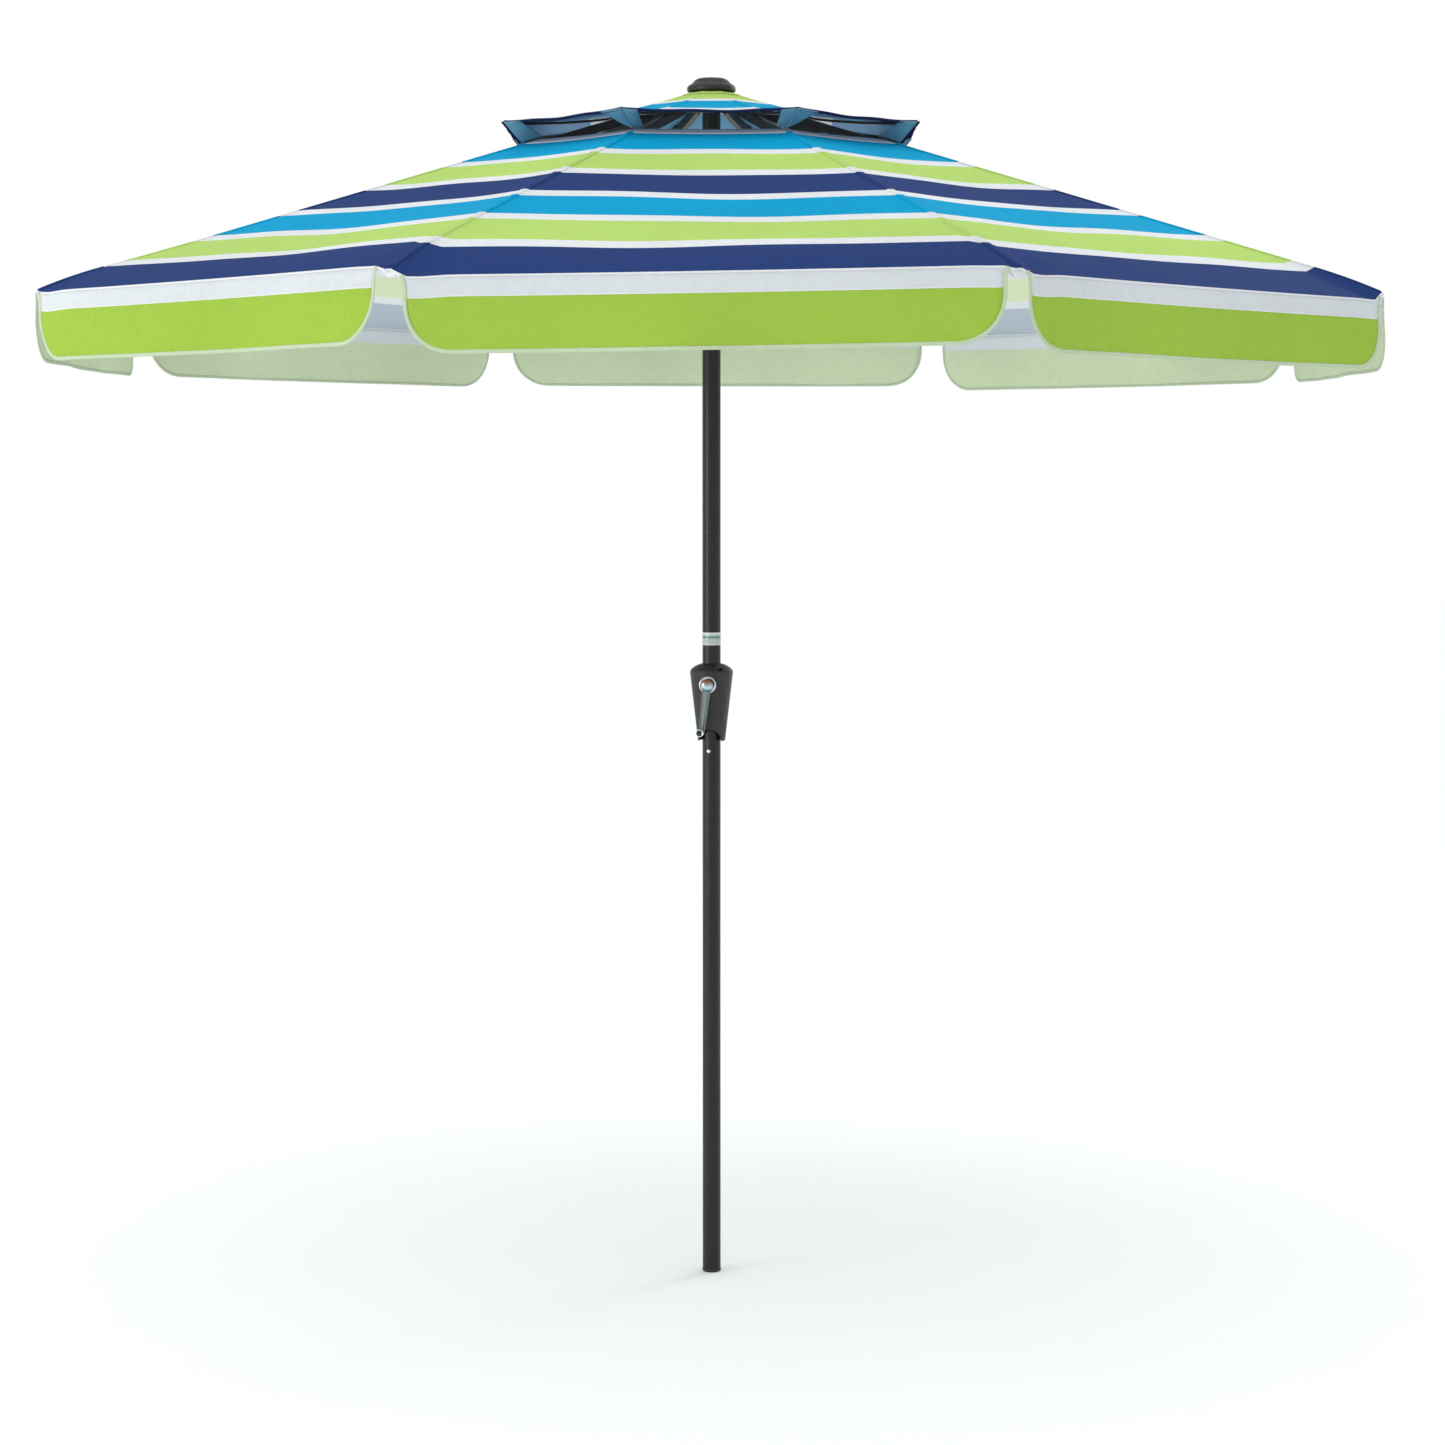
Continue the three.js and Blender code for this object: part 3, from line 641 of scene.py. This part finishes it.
def rim_shift(k, y, half_width, below):
    """How far a panel's rim is off its true line, fading up the slope. On a rib it never sinks."""
    left, right = RIM_ENDS[k]
    reach = half_width - BESIDE_RIB
    across = max(-1.0, min(1.0, y / reach))
    shift = (left * (1 - across) + right * (1 + across)) / 2
    next_left = RIM_ENDS[k % PANELS + 1][0]
    last_right = RIM_ENDS[(k - 2) % PANELS + 1][1]
    corner = (right + next_left) / 2 if y > 0 else (left + last_right) / 2
    on_rib = smooth((abs(y) - reach) / (BESIDE_RIB - ON_RIB))
    return (shift * (1 - on_rib) + max(corner, 0) * on_rib) * (1 - smooth(below / 0.30))


def slack(k, y, half_width, n):
    """Soft hang of the cloth between two ribs, with a few long waves of its own for each panel."""
    u = y / half_width
    v = (n - VENT_N) / (RIM_N - VENT_N)
    between = 1 - u * u
    hang = EDGE_HANG
    if v < 0.95:
        hang += MIDDLE_HANG * math.sin(math.pi * min(1, v * 1.05)) ** 0.8
    phase = 1.7 * k
    long_wave = 0.0016 * math.sin(9 * y + 6 * n + phase)
    short_wave = 0.0012 * math.sin(15 * y - 11 * n + 2.3 * phase)
    inside = smooth(v * 6) * smooth((1 - v) * 7)
    return (hang + (long_wave + short_wave) * inside) * between


def corner_pull(y, half_width, below):
    """The dip that the pocket over the rib's end pulls into the cloth beside it."""
    left = math.exp(-(((y + half_width - 0.052) / 0.034) ** 2))
    right = math.exp(-(((half_width - y - 0.040) / 0.026) ** 2))
    fade = math.exp(-(((below - 0.028) / 0.045) ** 2))
    return (0.0045 * left + 0.0020 * right) * fade


def row_n(i):
    """Distances out from the pole, closer together near both edges."""
    t = i / (ROWS - 1)
    eased = t - 0.09 * math.sin(2 * math.pi * t)
    return VENT_N + (RIM_N - VENT_N) * eased


ROW_N = [row_n(i) for i in range(ROWS)]


def slope_length(n):
    """Distance from the rim, up the slope, to a row."""
    return (RIM_N - n) * math.sqrt(1 + (RIB_SLOPE / math.cos(HALF)) ** 2)


def panel_point(k, i, j):
    """A point of panel k, with its middle along +X: row i from the vent, column j across."""
    n = ROW_N[i]
    half_width = n * math.tan(HALF) + SEAM_LAP
    y = panel_columns(half_width)[j]
    n_cut = min(n, (RIM_R - CORNER_CUT - abs(y) * math.sin(HALF)) / math.cos(HALF))
    below = slope_length(n_cut)
    z = rib_line_z(n / math.cos(HALF)) - slack(k, y, half_width, n)
    z += rim_shift(k, y, half_width, below) - corner_pull(y, half_width, below)
    if SEAM_START < half_width - abs(y) < SEAM_END:
        z += SEAM_LIFT
    return Vector((n_cut, y, z))


def stripe_place(k, n, y):
    """Where a point falls in the stripes; the cut is a little off true on each panel."""
    below = slope_length(n)
    off = 0.0016 * math.sin(7 * y + k) + 0.0022 * math.sin(2.4 * (k - 1))
    return below + off * smooth(below / 0.05)


def make_panel(k):
    panel = grid_sheet(
        f"panel_cloth_{k}", ROWS, COLUMNS, lambda i, j: panel_point(k, i, j),
        lambda i, j, v: (v.y, stripe_place(k, v.x, v.y)),
        PANEL_FACE, PANEL_BACK, RIM_TAPE, panel_azimuth(k),
    )
    finish_cloth(panel, k, f"panel_{k}", f"canopy_panel_{k}")


def finish_cloth(obj, k, body, *stands_for, keep=PANEL_KEEP):
    """Puts a piece of cloth on its body and gives it a mesh of its own."""
    ride_as(obj, body, "canopy_fabric", *stands_for)
    azimuth = panel_azimuth(k)
    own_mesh(obj)


def frames_along(path):
    """For each point of a path, the direction across it in the surface and the surface's normal."""
    across, normals = [], []
    for i in range(len(path)):
        along = (path[min(i + 1, len(path) - 1)] - path[max(i - 1, 0)]).normalized()
        side = UP.cross(along).normalized()
        across.append(side)
        normals.append(along.cross(side).normalized())
    return across, normals


def make_rim_piping(k):
    """The white rolled edge of the rim: thin along the panel, full over each rib's pocket."""
    path, widths = [], []
    for j in range(COLUMNS):
        place = panel_point(k, ROWS - 1, j)
        pocket = smooth((abs(place.y) - RIM_HALF + 0.024) / 0.006)
        path.append(place + Vector((-0.0006 + 0.0012 * pocket, 0, -0.0010)))
        widths.append(0.0016 + 0.0036 * pocket)
    across, normals = frames_along(path)
    piping = tape(f"rim_piping_{k}", path, across, normals, widths, 0.0036, RIM_TAPE,
                  panel_azimuth(k))
    finish_cloth(piping, k, f"panel_{k}")


def make_vent_binding(k):
    """The grey-white tape that closes the panel's upper edge."""
    width = 0.036
    rows = 5
    columns = 31
    down = [i / (rows - 1) * width for i in range(rows)]

    def point(i, j):
        n = VENT_N - 0.001 + down[i] * math.cos(math.atan(RIB_SLOPE))
        half_width = n * math.tan(HALF) - 0.0006
        y = -half_width + 2 * half_width * j / (columns - 1)
        lift = 0.0012 + (0.0006 if 0 < i < rows - 1 else 0)
        cloth_z = rib_line_z(n / math.cos(HALF)) - slack(k, y, half_width, max(n, VENT_N))
        return Vector((n, y, cloth_z + lift))

    binding = grid_sheet(f"vent_binding_{k}", rows, columns, point, lambda i, j, v: (v.y, v.x),
                         VENT_TAPE, VENT_TAPE, VENT_TAPE, panel_azimuth(k), 0.0009)
    finish_cloth(binding, k, f"panel_{k}")


# ---- strips sewn over the seams ----------------------

STRIP_HALF = 0.0082
STRIP_COLUMNS = [-1.0, -0.86, -0.45, 0.0, 0.45, 0.86, 1.0]
STRIP_SECTION = [0.0, 0.9, 1.0, 0.95, 1.0, 0.9, 0.0]  # its height across, as a share of its lift


def seam_height(k, r):
    """The cloth over rib k, at a radius."""
    n = r * math.cos(HALF)
    half_width = n * math.tan(HALF)
    return rib_line_z(r) + rim_shift(k, half_width, half_width, max(0.0, slope_length(n)))


def make_strip(name, k, radii, half, lift, height, cloth, face, back):
    """A narrow strip over the seam at rib k, which stays on the rib as the canopy folds."""
    def point(i, j):
        y = STRIP_COLUMNS[j] * half
        under = height(radii[i] + abs(y) * math.tan(HALF)) + 0.0002
        return Vector((radii[i], y, under + lift * STRIP_SECTION[j]))

    strip = grid_sheet(name, len(radii), len(STRIP_COLUMNS), point, cloth, face, back, face,
                       rib_azimuth(k), 0.0005)
    ride_as(strip, f"rib_{k}", "canopy_fabric")


def spread(start, end, steps):
    """Evenly spaced values from start to end."""
    return [start + (end - start) * i / steps for i in range(steps + 1)]


def panel_n(v):
    """A place beside a rib, as a distance from the pole along the middle of its panel."""
    return v.x * math.cos(HALF) + abs(v.y) * math.sin(HALF)


def make_panel_strip(k):
    radii = spread(VENT_N / math.cos(HALF) + 0.001, RIM_R - CORNER_CUT - 0.001, 60)
    make_strip(f"seam_strip_{k}", k, radii, STRIP_HALF, 0.0015, lambda r: seam_height(k, r),
               lambda i, j, v: (v.y, stripe_place(k, panel_n(v), 0.2)), PANEL_FACE, PANEL_BACK)


# ---- flaps -------------------------------------------

FLAP_ROWS = 22
FLAP_COLUMNS = 67


def rim_edge(k, y):
    """The panel's rim at a place across it."""
    z = rib_line_z(RIM_R) - slack(k, y, RIM_HALF, RIM_N) + rim_shift(k, y, RIM_HALF, 0)
    return Vector((RIM_N, y, z - corner_pull(y, RIM_HALF, 0)))


def flap_side(k, side, h):
    """Where the flap's left (-1) or right (1) edge is across the panel, h down from its top."""
    full = RIM_HALF - FLAP_ENDS[k][0 if side < 0 else 1]
    if h <= FLAP_SIDE:
        return side * (full + 0.005 * (1 - smooth(h / 0.016)))
    return side * (full - FLAP_R + math.sqrt(max(0.0, FLAP_R ** 2 - (h - FLAP_SIDE) ** 2)))


def flap_swing(k, y, h):
    """How far the cloth hangs out from straight down."""
    t = h / FLAP_H
    phase = 2.1 * k
    wave = 0.0065 * math.sin(8.5 * y + phase) + 0.0028 * math.sin(21 * y + 1.3 * phase)
    return t * (0.004 + wave * smooth(t * 1.4)) + 0.0012 * math.sin(34 * y + phase) * t


def flap_point(k, y, h):
    """A point of flap k: y across, h down from the rim."""
    top = rim_edge(k, y)
    return Vector((top.x - 0.0004 + flap_swing(k, y, h), y, top.z - 0.0006 - h))


def flap_row_h(i):
    """Rows down a flap, closer together round its lower corners."""
    return FLAP_H * math.sin(math.pi / 2 * i / (FLAP_ROWS - 1))


def make_flap(k):
    def point(i, j):
        h = flap_row_h(i)
        left, right = flap_side(k, -1, h), flap_side(k, 1, h)
        return flap_point(k, left + (right - left) * j / (FLAP_COLUMNS - 1), h)

    flap = grid_sheet(f"flap_cloth_{k}", FLAP_ROWS, FLAP_COLUMNS, point,
                      lambda i, j, v: (v.y, flap_row_h(i)), FLAP_FACE, FLAP_BACK, FLAP_TAPE,
                      panel_azimuth(k))
    finish_cloth(flap, k, f"valance_{k}", f"valance_{k}")
    full = flap_side(k, 1, FLAP_SIDE) - flap_side(k, -1, FLAP_SIDE)
    edging = make_flap_binding(k)
    stitches = make_flap_seam(k)


def flap_outline(k):
    """The flap's edge from its top left, round the bottom, to its top right."""
    left, right = flap_side(k, -1, FLAP_SIDE), flap_side(k, 1, FLAP_SIDE)
    down = [h * FLAP_SIDE / 5 for h in range(5)]
    round_corner = [
        (FLAP_R * (1 - math.cos(angle)), FLAP_SIDE + FLAP_R * math.sin(angle))
        for angle in spread(0, math.pi / 2, 14)
    ]
    places = [(flap_side(k, -1, h), h) for h in down]
    places += [(left + across, h) for across, h in round_corner]
    places += [(y, FLAP_H) for y in spread(left + FLAP_R, right - FLAP_R, 40)[1:-1]]
    places += [(right - across, h) for across, h in reversed(round_corner)]
    places += [(flap_side(k, 1, h), h) for h in reversed(down)]
    return places


def make_flap_binding(k):
    path, across, normals = [], [], []
    outline = flap_outline(k)
    for i, (y, h) in enumerate(outline):
        y0, h0 = outline[max(i - 1, 0)]
        y1, h1 = outline[min(i + 1, len(outline) - 1)]
        along = Vector((0, y1 - y0, -(h1 - h0))).normalized()
        inward = OUT.cross(along).normalized()
        if inward.z < 0 and abs(inward.y) < 0.5:
            inward = -inward
        centre = flap_point(k, y, h) + inward * (BINDING_W / 2 - 0.001)
        path.append(centre)
        across.append(inward)
        normals.append(along.cross(inward).normalized())
    edging = tape(f"flap_binding_{k}", path, across, normals, BINDING_W, 0.0024, FLAP_TAPE,
                  panel_azimuth(k))
    finish_cloth(edging, k, f"valance_{k}")
    return edging


def make_flap_seam(k):
    """The sewn line between the flap's white and green bands, as a low welt."""
    depth = FLAP_STRIPES[1][0]
    inset = 0.007  # just inside the binding
    places = spread(flap_side(k, -1, depth) + inset, flap_side(k, 1, depth) - inset, 60)
    path = [flap_point(k, y, depth) for y in places]
    seam = tape(f"flap_seam_{k}", path, [UP] * len(path), [OUT] * len(path), 0.0022, 0.0017, RIM_TAPE,
                panel_azimuth(k))
    finish_cloth(seam, k, f"valance_{k}")
    return seam


# ---- pockets at the ribs' ends -----------------------

POCKET_REACH = 0.026  # how far a pocket spreads along the rim on each side of its rib
POCKET_COLUMNS = 31
# Down and back round a pocket at its middle: distance in from the rim, and depth under the cloth.
POCKET_SECTION = [
    (0.0006, 0.0010), (0.0008, 0.0050), (0.0012, 0.0095), (0.0035, 0.0140), (0.0080, 0.0158),
    (0.0160, 0.0168), (0.0280, 0.0180), (0.0420, 0.0192), (0.0440, 0.0150), (0.0450, 0.0090),
]


def corner_rim(k, s):
    """The rim beside rib k in the rib's own frame, s along it from the corner, towards panel k + 1."""
    if s < 0:
        place, turn = rim_edge(k, RIM_HALF + s), -HALF
    else:
        place, turn = rim_edge(k % PANELS + 1, s - RIM_HALF), HALF
    place = Matrix.Rotation(turn, 3, "Z") @ place
    place.x = min(place.x, RIM_R - CORNER_CUT)
    return place


def pocket_point(k, i, j):
    """The white pocket sewn under a corner of the rim, gathered at its sides and full round the rib."""
    across = -1 + 2 * j / (POCKET_COLUMNS - 1)
    back, depth = POCKET_SECTION[i]
    rim = corner_rim(k, across * POCKET_REACH)
    raised = corner_rim(k, 0).z - rib_line_z(RIM_R)
    inner = smooth(back / 0.045)
    full = math.exp(-(across / (0.55 + 0.25 * inner)) ** 4)
    sides = min(depth, 0.0065) * (1 - inner)
    ruffle = 0.0013 * math.sin(23 * across + 1.7 * k) * (1 - inner) * smooth(depth / 0.006)
    drop = max((depth + raised * smooth(depth / 0.012) * (1 - inner)) * full, sides) + ruffle
    return Vector((
        rim.x - back - 0.4 * ruffle,
        rim.y * (1 - 0.62 * inner),
        rim.z * (1 - inner) + rib_line_z(RIM_R - CORNER_CUT) * inner + back * RIB_SLOPE - drop,
    ))


def make_pocket(k):
    pocket = grid_sheet(f"rib_pocket_{k}", len(POCKET_SECTION), POCKET_COLUMNS,
                        lambda i, j: pocket_point(k, i, j), lambda i, j, v: (v.y, v.z),
                        RIM_TAPE, RIM_TAPE, RIM_TAPE, rib_azimuth(k))
    ride_as(pocket, f"rib_{k}", "canopy_fabric")


# ---- top tier ----------------------------------------

TIER_ROWS = 40
TIER_COLUMNS = 31
TIER_KEEP = 0.30  # a closed tier panel's width, as a share of its width at rest
TIER_START = 0.046  # where the tier's panels begin, under the round patch


def tier_z(r):
    t = (r - TIER_TOP_R) / (TIER_R - TIER_TOP_R)
    if t < 0:
        return TIER_RIM_Z + TIER_RISE + 0.002 * smooth(-t * 10)
    return TIER_RIM_Z + TIER_RISE * (1 - t) ** 2


def tier_point(k, n, y):
    half_width = n * math.tan(HALF)
    u = y / max(half_width, 1e-6)
    r = n / math.cos(HALF)
    out = smooth((r - 0.08) / (TIER_R - 0.08))
    hang = 0.005 * out * (1 - u * u)
    ripple = 0.0012 * math.sin(40 * y + 3 * k) * out * (1 - u * u)
    return Vector((n, y, tier_z(r) - hang + ripple))


def tier_n(i):
    return TIER_START + (TIER_R * math.cos(HALF) - TIER_START) * i / (TIER_ROWS - 1)


def make_tier(k):
    def point(i, j):
        n = tier_n(i)
        half_width = n * math.tan(HALF) - 0.0003
        return tier_point(k, n, half_width * (-1 + 2 * j / (TIER_COLUMNS - 1)))

    tier = grid_sheet(f"tier_cloth_{k}", TIER_ROWS, TIER_COLUMNS, point,
                      lambda i, j, v: (v.y, v.x + 0.0012 * math.sin(30 * v.y + k)),
                      TIER_FACE, TIER_BACK, NAVY_TAPE, panel_azimuth(k))
    finish_cloth(tier, k, f"panel_{k}", keep=TIER_KEEP)
    n = TIER_R * math.cos(HALF)
    half_width = n * math.tan(HALF)
    under_rim = Vector((0.0015, 0, 0.0022))
    path = [tier_point(k, n, y) - under_rim for y in spread(-half_width, half_width, 40)]
    hem = tape(f"tier_hem_{k}", path, [UP] * len(path), [OUT] * len(path), 0.0058, 0.0026, NAVY_TAPE,
               panel_azimuth(k))
    finish_cloth(hem, k, f"panel_{k}", keep=TIER_KEEP)


def make_tier_strip(k):
    make_strip(f"tier_strip_{k}", k, spread(0.066, TIER_R - 0.001, 40), 0.0050, 0.0006, tier_z,
               lambda i, j, v: (v.y, panel_n(v)), TIER_FACE, TIER_BACK)


def make_collar():
    """The round patch that joins the tier's panels under the finial. It stays with the pole."""
    inner, outer = 0.014, 0.062
    radii = [inner, 0.024, 0.034, 0.044, 0.053, outer]
    segments = 64
    verts, uvs = [], []
    for r in radii:
        for j in range(segments):
            angle = 2 * math.pi * j / segments
            off_middle = SECTOR * abs(((angle - FRONT) / SECTOR + 0.5) % 1 - 0.5)
            z = tier_z(r * math.cos(off_middle) / math.cos(HALF)) + 0.0016
            verts.append(Vector((r * math.cos(angle), r * math.sin(angle), z)))
            uvs.append((angle * 0.05, 0.01))
    faces = grid_faces(len(radii), segments, flip=True, wrap=True)
    collar = add_object("tier_collar", verts, faces, uvs, [TIER_FACE])
    shell = collar.modifiers.new("cloth thickness", "SOLIDIFY")
    shell.thickness = FABRIC_T
    shell.offset = -1
    ride_as(collar, "pole", "canopy_fabric", "top_canopy")


GUSSET_TIP = (0.4550, 2.3925)  # under the tier's corner: radius and height
# Where a gusset's front edge and its sides end: on the big canopy, or tucked up under the arm.
LONG_GUSSET = ((0.4170, 2.3505), (0.3720, 2.3640))
SHORT_GUSSET = ((0.3960, 2.3600), (0.3720, 2.3640))
TUCKED_GUSSETS = (1, 8)
GUSSET_REACH = 0.055  # how far it is sewn along the tier's rim
TUCKED_REACH = 0.034  # the same on the front panel's side of a tucked gusset
GUSSET_ROWS = 9
GUSSET_STEPS = 12


def gusset_point(k, side, i, j):
    """The bow-shaped pocket at a tier corner: i runs back from its front edge, j down."""
    foot_end, heel_end = SHORT_GUSSET if k in TUCKED_GUSSETS else LONG_GUSSET
    back = i / GUSSET_STEPS
    down = j / GUSSET_ROWS
    towards_front = (k == 1 and side < 0) or (k == PANELS and side > 0)
    rim_in = (TUCKED_REACH if towards_front else GUSSET_REACH) * back
    top = Vector((
        GUSSET_TIP[0] - rim_in * math.sin(HALF),
        side * rim_in * math.cos(HALF),
        GUSSET_TIP[1] - 0.003 * back,
    ))
    foot = Vector((
        foot_end[0] + (heel_end[0] - foot_end[0]) * back,
        side * 0.013 * back,
        foot_end[1] + (heel_end[1] - foot_end[1]) * back,
    ))
    point = top.lerp(foot, down ** 0.85)
    belly = math.sin(math.pi * down) * math.sin(math.pi * back)
    point += Vector((0.004, side * 0.006, -0.002)) * belly
    return point


def make_gusset(k):
    """The pale pocket that holds the vent arm's end and ties the tier's corner to the big canopy."""
    columns = 2 * GUSSET_STEPS + 1

    def point(j, i):
        side = -1 if i < GUSSET_STEPS else 1
        return gusset_point(k, side, abs(i - GUSSET_STEPS), j)

    pocket = grid_sheet(f"tier_gusset_{k}", GUSSET_ROWS + 1, columns, point,
                        lambda i, j, v: (v.y, v.z), POCKET_CLOTH, POCKET_CLOTH, POCKET_CLOTH,
                        rib_azimuth(k))
    ride_as(pocket, f"rib_{k}", "canopy_fabric")
    width, cloth = (0.0030, POCKET_CLOTH) if k in TUCKED_GUSSETS else (0.0070, NAVY_TAPE)
    bow = [gusset_point(k, 1, 0, j) + Vector((0.0006, 0, 0)) for j in range(GUSSET_ROWS + 1)]
    across = [Vector((0, 1, 0))] * len(bow)
    normals = [Vector((0.75, 0, -0.66))] * len(bow)
    binding = tape(f"gusset_binding_{k}", bow, across, normals, width, 0.0026, cloth, rib_azimuth(k))
    ride_as(binding, f"rib_{k}", "canopy_fabric")


# ---- round frame parts -------------------------------


def crank_matrix():
    """Takes a shape turned about Z to the crank's axis, with +Z pointing out of the front."""
    turned = Matrix.Rotation(CRANK_TURN, 4, "Z") @ Matrix.Translation((0, 0, CRANK_Z))
    return turned @ Matrix.Rotation(math.pi / 2, 4, "X")


FINIAL_H = 0.029


def make_finial():
    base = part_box("finial")[1].z - FINIAL_H
    # Radius, and height above its flat base.
    profile = [
        (0.0, -0.0034), (0.005, -0.0034), (0.005, 0.0), (0.047, 0.0), (0.0500, 0.0014),
        (0.0504, 0.0088), (0.0475, 0.0130), (0.0405, 0.0168), (0.0378, 0.0200), (0.0340, 0.0245),
        (0.0270, 0.0277), (0.0120, 0.0288), (0.0, FINIAL_H),
    ]
    finial = lathe("finial_cap", rounded([(r, base + z) for r, z in profile], 0.0025), DARK_PLASTIC)
    sharpen(finial, 50)
    ride_as(finial, "pole", "dark_plastic", "finial")


def make_foot():
    profile = [
        (0, 0), (0.0165, 0), (0.0186, 0.001), (0.0196, 0.0032),
        (0.0196, 0.008), (0.0172, 0.0084), (0.0168, 0.034), (0, 0.034),
    ]
    foot = lathe("foot_cap", rounded(profile, 0.0012), BLACK_PLASTIC)
    sharpen(foot, 50)
    ride_as(foot, "pole", "black_plastic", "foot_plug")


def make_sticker():
    """The band round the pole above the crank, thin at its edges."""
    z0, z1 = 1.3280, 1.3545
    rows = [z0, z0 + 0.0005, (z0 + z1) / 2, z1 - 0.0005, z1]
    edge, face = POLE_R + 0.00008, POLE_R + 0.00025
    radii = [edge, face, face, face, edge]
    label = lathe("pole_label", list(zip(radii, rows)), STICKER)
    ride_as(label, "pole", "black_plastic")


ARM_LENGTH = 0.0995
ARM_SWING = math.radians(6.7)
ARM_FACE = 0.0482  # from the crank's middle out to the lever's back face
ARM_WIDE = 0.0093
ARM_NARROW = 0.0056


def arm_outline(inset):
    """The lever's outline in its own plane, y up its length, brought in all round by inset."""
    wide, narrow = ARM_WIDE - inset, ARM_NARROW - inset
    upper = [(wide * math.cos(a), wide * math.sin(a)) for a in spread(0, math.pi, 10)]
    lower = [
        (narrow * math.cos(a), -ARM_LENGTH + narrow * math.sin(a))
        for a in spread(math.pi, 2 * math.pi, 10)
    ]
    return upper + lower


def make_crank_arm():
    """The lever: a plate with rounded edges, a sunk face and a raised rib along its middle."""
    # From its back to its front: how far the outline is brought in, and height off the back.
    layers = [
        (0.0006, 0.0), (0.0, 0.0004), (0.0, 0.0040), (0.0003, 0.0047), (0.0007, 0.0050),
        (0.0012, 0.0050), (0.0016, 0.0030), (0.0031, 0.0028), (0.0036, 0.0052), (0.0046, 0.0055),
    ]
    verts = [
        Vector((x, y, ARM_FACE + height))
        for inset, height in layers
        for x, y in arm_outline(inset)
    ]
    uvs = [(v.x, v.y) for v in verts]
    count = len(verts) // len(layers)
    faces = grid_faces(len(layers), count, wrap=True)
    faces.append(tuple(range(count)))
    faces.append(tuple(range(len(verts) - count, len(verts))))
    lever = add_object("crank_lever", verts, faces, uvs, [GREY_PLASTIC])
    fix_normals(lever)
    sharpen(lever, 40)
    lever.data.transform(crank_matrix() @ Matrix.Rotation(-ARM_SWING, 4, "Z"))
    ride_as(lever, "crank", "grey_plastic", "crank_arm")
    profile = [(0.0052, 0.0452), (0.0088, 0.0452), (0.0088, 0.0484), (0.0052, 0.0484)]
    neck = lathe("crank_neck", profile, GREY_PLASTIC, frame_matrix=crank_matrix(), closed=True)
    sharpen(neck, 40)
    ride_as(neck, "crank", "grey_plastic")


def knob_matrix():
    """Takes a shape turned about Z to the knob's axis at the lever's end."""
    across, down = -ARM_LENGTH * math.sin(ARM_SWING), -ARM_LENGTH * math.cos(ARM_SWING)
    return crank_matrix() @ Matrix.Translation((across, down, 0))


def make_knob():
    """The turning grip: a waisted grey body with a bright rim and a dark, dished end."""
    body = [
        (0.0029, 0.0540), (0.0060, 0.0540), (0.0072, 0.0553), (0.0065, 0.0590),
        (0.0070, 0.0640), (0.0079, 0.0690), (0.0080, 0.0712), (0.0029, 0.0712),
    ]
    grip = lathe("crank_grip", rounded(body, 0.0010), GREY_PLASTIC, 48, knob_matrix(), closed=True)
    sharpen(grip, 50)
    ride_as(grip, "knob", "grey_plastic", "crank_knob")
    rim = [
        (0.0062, 0.0714), (0.0082, 0.0714), (0.0085, 0.0730),
        (0.0083, 0.0752), (0.0075, 0.0768), (0.0062, 0.0764),
    ]
    ring = lathe("crank_grip_rim", rounded(rim, 0.0004), CHROME, 48, knob_matrix(), closed=True)
    sharpen(ring, 50)
    ride_as(ring, "knob", "chrome")
    dish = [(0, 0.0754), (0.0030, 0.0752), (0.0062, 0.0762), (0.0062, 0.0714), (0, 0.0714)]
    end = lathe("crank_grip_end", dish, BLACK_PLASTIC, 48, knob_matrix())
    sharpen(end, 50)
    ride_as(end, "knob", "black_plastic")


def make_crank_cap():
    """The domed cap on the crank's middle, and the flat chrome ring on the housing behind it."""
    profile = [
        (0, 0.0612), (0.005, 0.0609), (0.0088, 0.0596), (0.0106, 0.0580), (0.0110, 0.0572),
        (0.0114, 0.0578), (0.0128, 0.0566), (0.0132, 0.0546), (0.0128, 0.0536), (0, 0.0536),
    ]
    cap = lathe("crank_dome", rounded(profile, 0.0006), CAP_CHROME, frame_matrix=crank_matrix())
    sharpen(cap, 50)
    ride_as(cap, "crank", "chrome", "crank_cap")
    ring_profile = [
        (0.0096, 0.0448), (0.0180, 0.0448), (0.0182, 0.0458), (0.0176, 0.0472), (0.0164, 0.0476),
        (0.0157, 0.0468), (0.0154, 0.0454), (0.0096, 0.0454),
    ]
    ring = lathe("crank_collar", ring_profile, CHROME, frame_matrix=crank_matrix(), closed=True)
    sharpen(ring, 50)
    ride_as(ring, "pole", "chrome", "crank_ring")


def dress_cad_nodes():
    """Gives every CAD node that stays on show its own finish."""
    bars = [f"{kind}_{k}" for kind in ("rib", "strut", "vent_arm") for k in range(1, PANELS + 1)]
    finishes = [
        (STEEL, ["hub_ring", "runner_ring", "hub_pulley", "pulley_pin", "crank_spool"]),
        (BRONZE, ["lower_pole", "upper_pole"] + bars),
        (DARK_PLASTIC, ["housing_front", "housing_back", "hub_crown", "runner"]),
        (CHROME, ["snap_button"]),
        (CORD, ["lift_cord"]),
    ]
    for material, nodes in finishes:
        for node in nodes:
            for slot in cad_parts[node].material_slots:
                slot.material = material


make_camera()
make_studio()
make_floor(floor_finish())
CLOTH_MAKERS = (
    make_panel, make_rim_piping, make_vent_binding, make_panel_strip, make_flap,
    make_tier, make_tier_strip, make_gusset, make_pocket,
)
for number in range(1, PANELS + 1):
    for make in CLOTH_MAKERS:
        make(number)
make_collar()
make_finial()
make_foot()
make_sticker()
make_crank_arm()
make_knob()
make_crank_cap()
dress_cad_nodes()
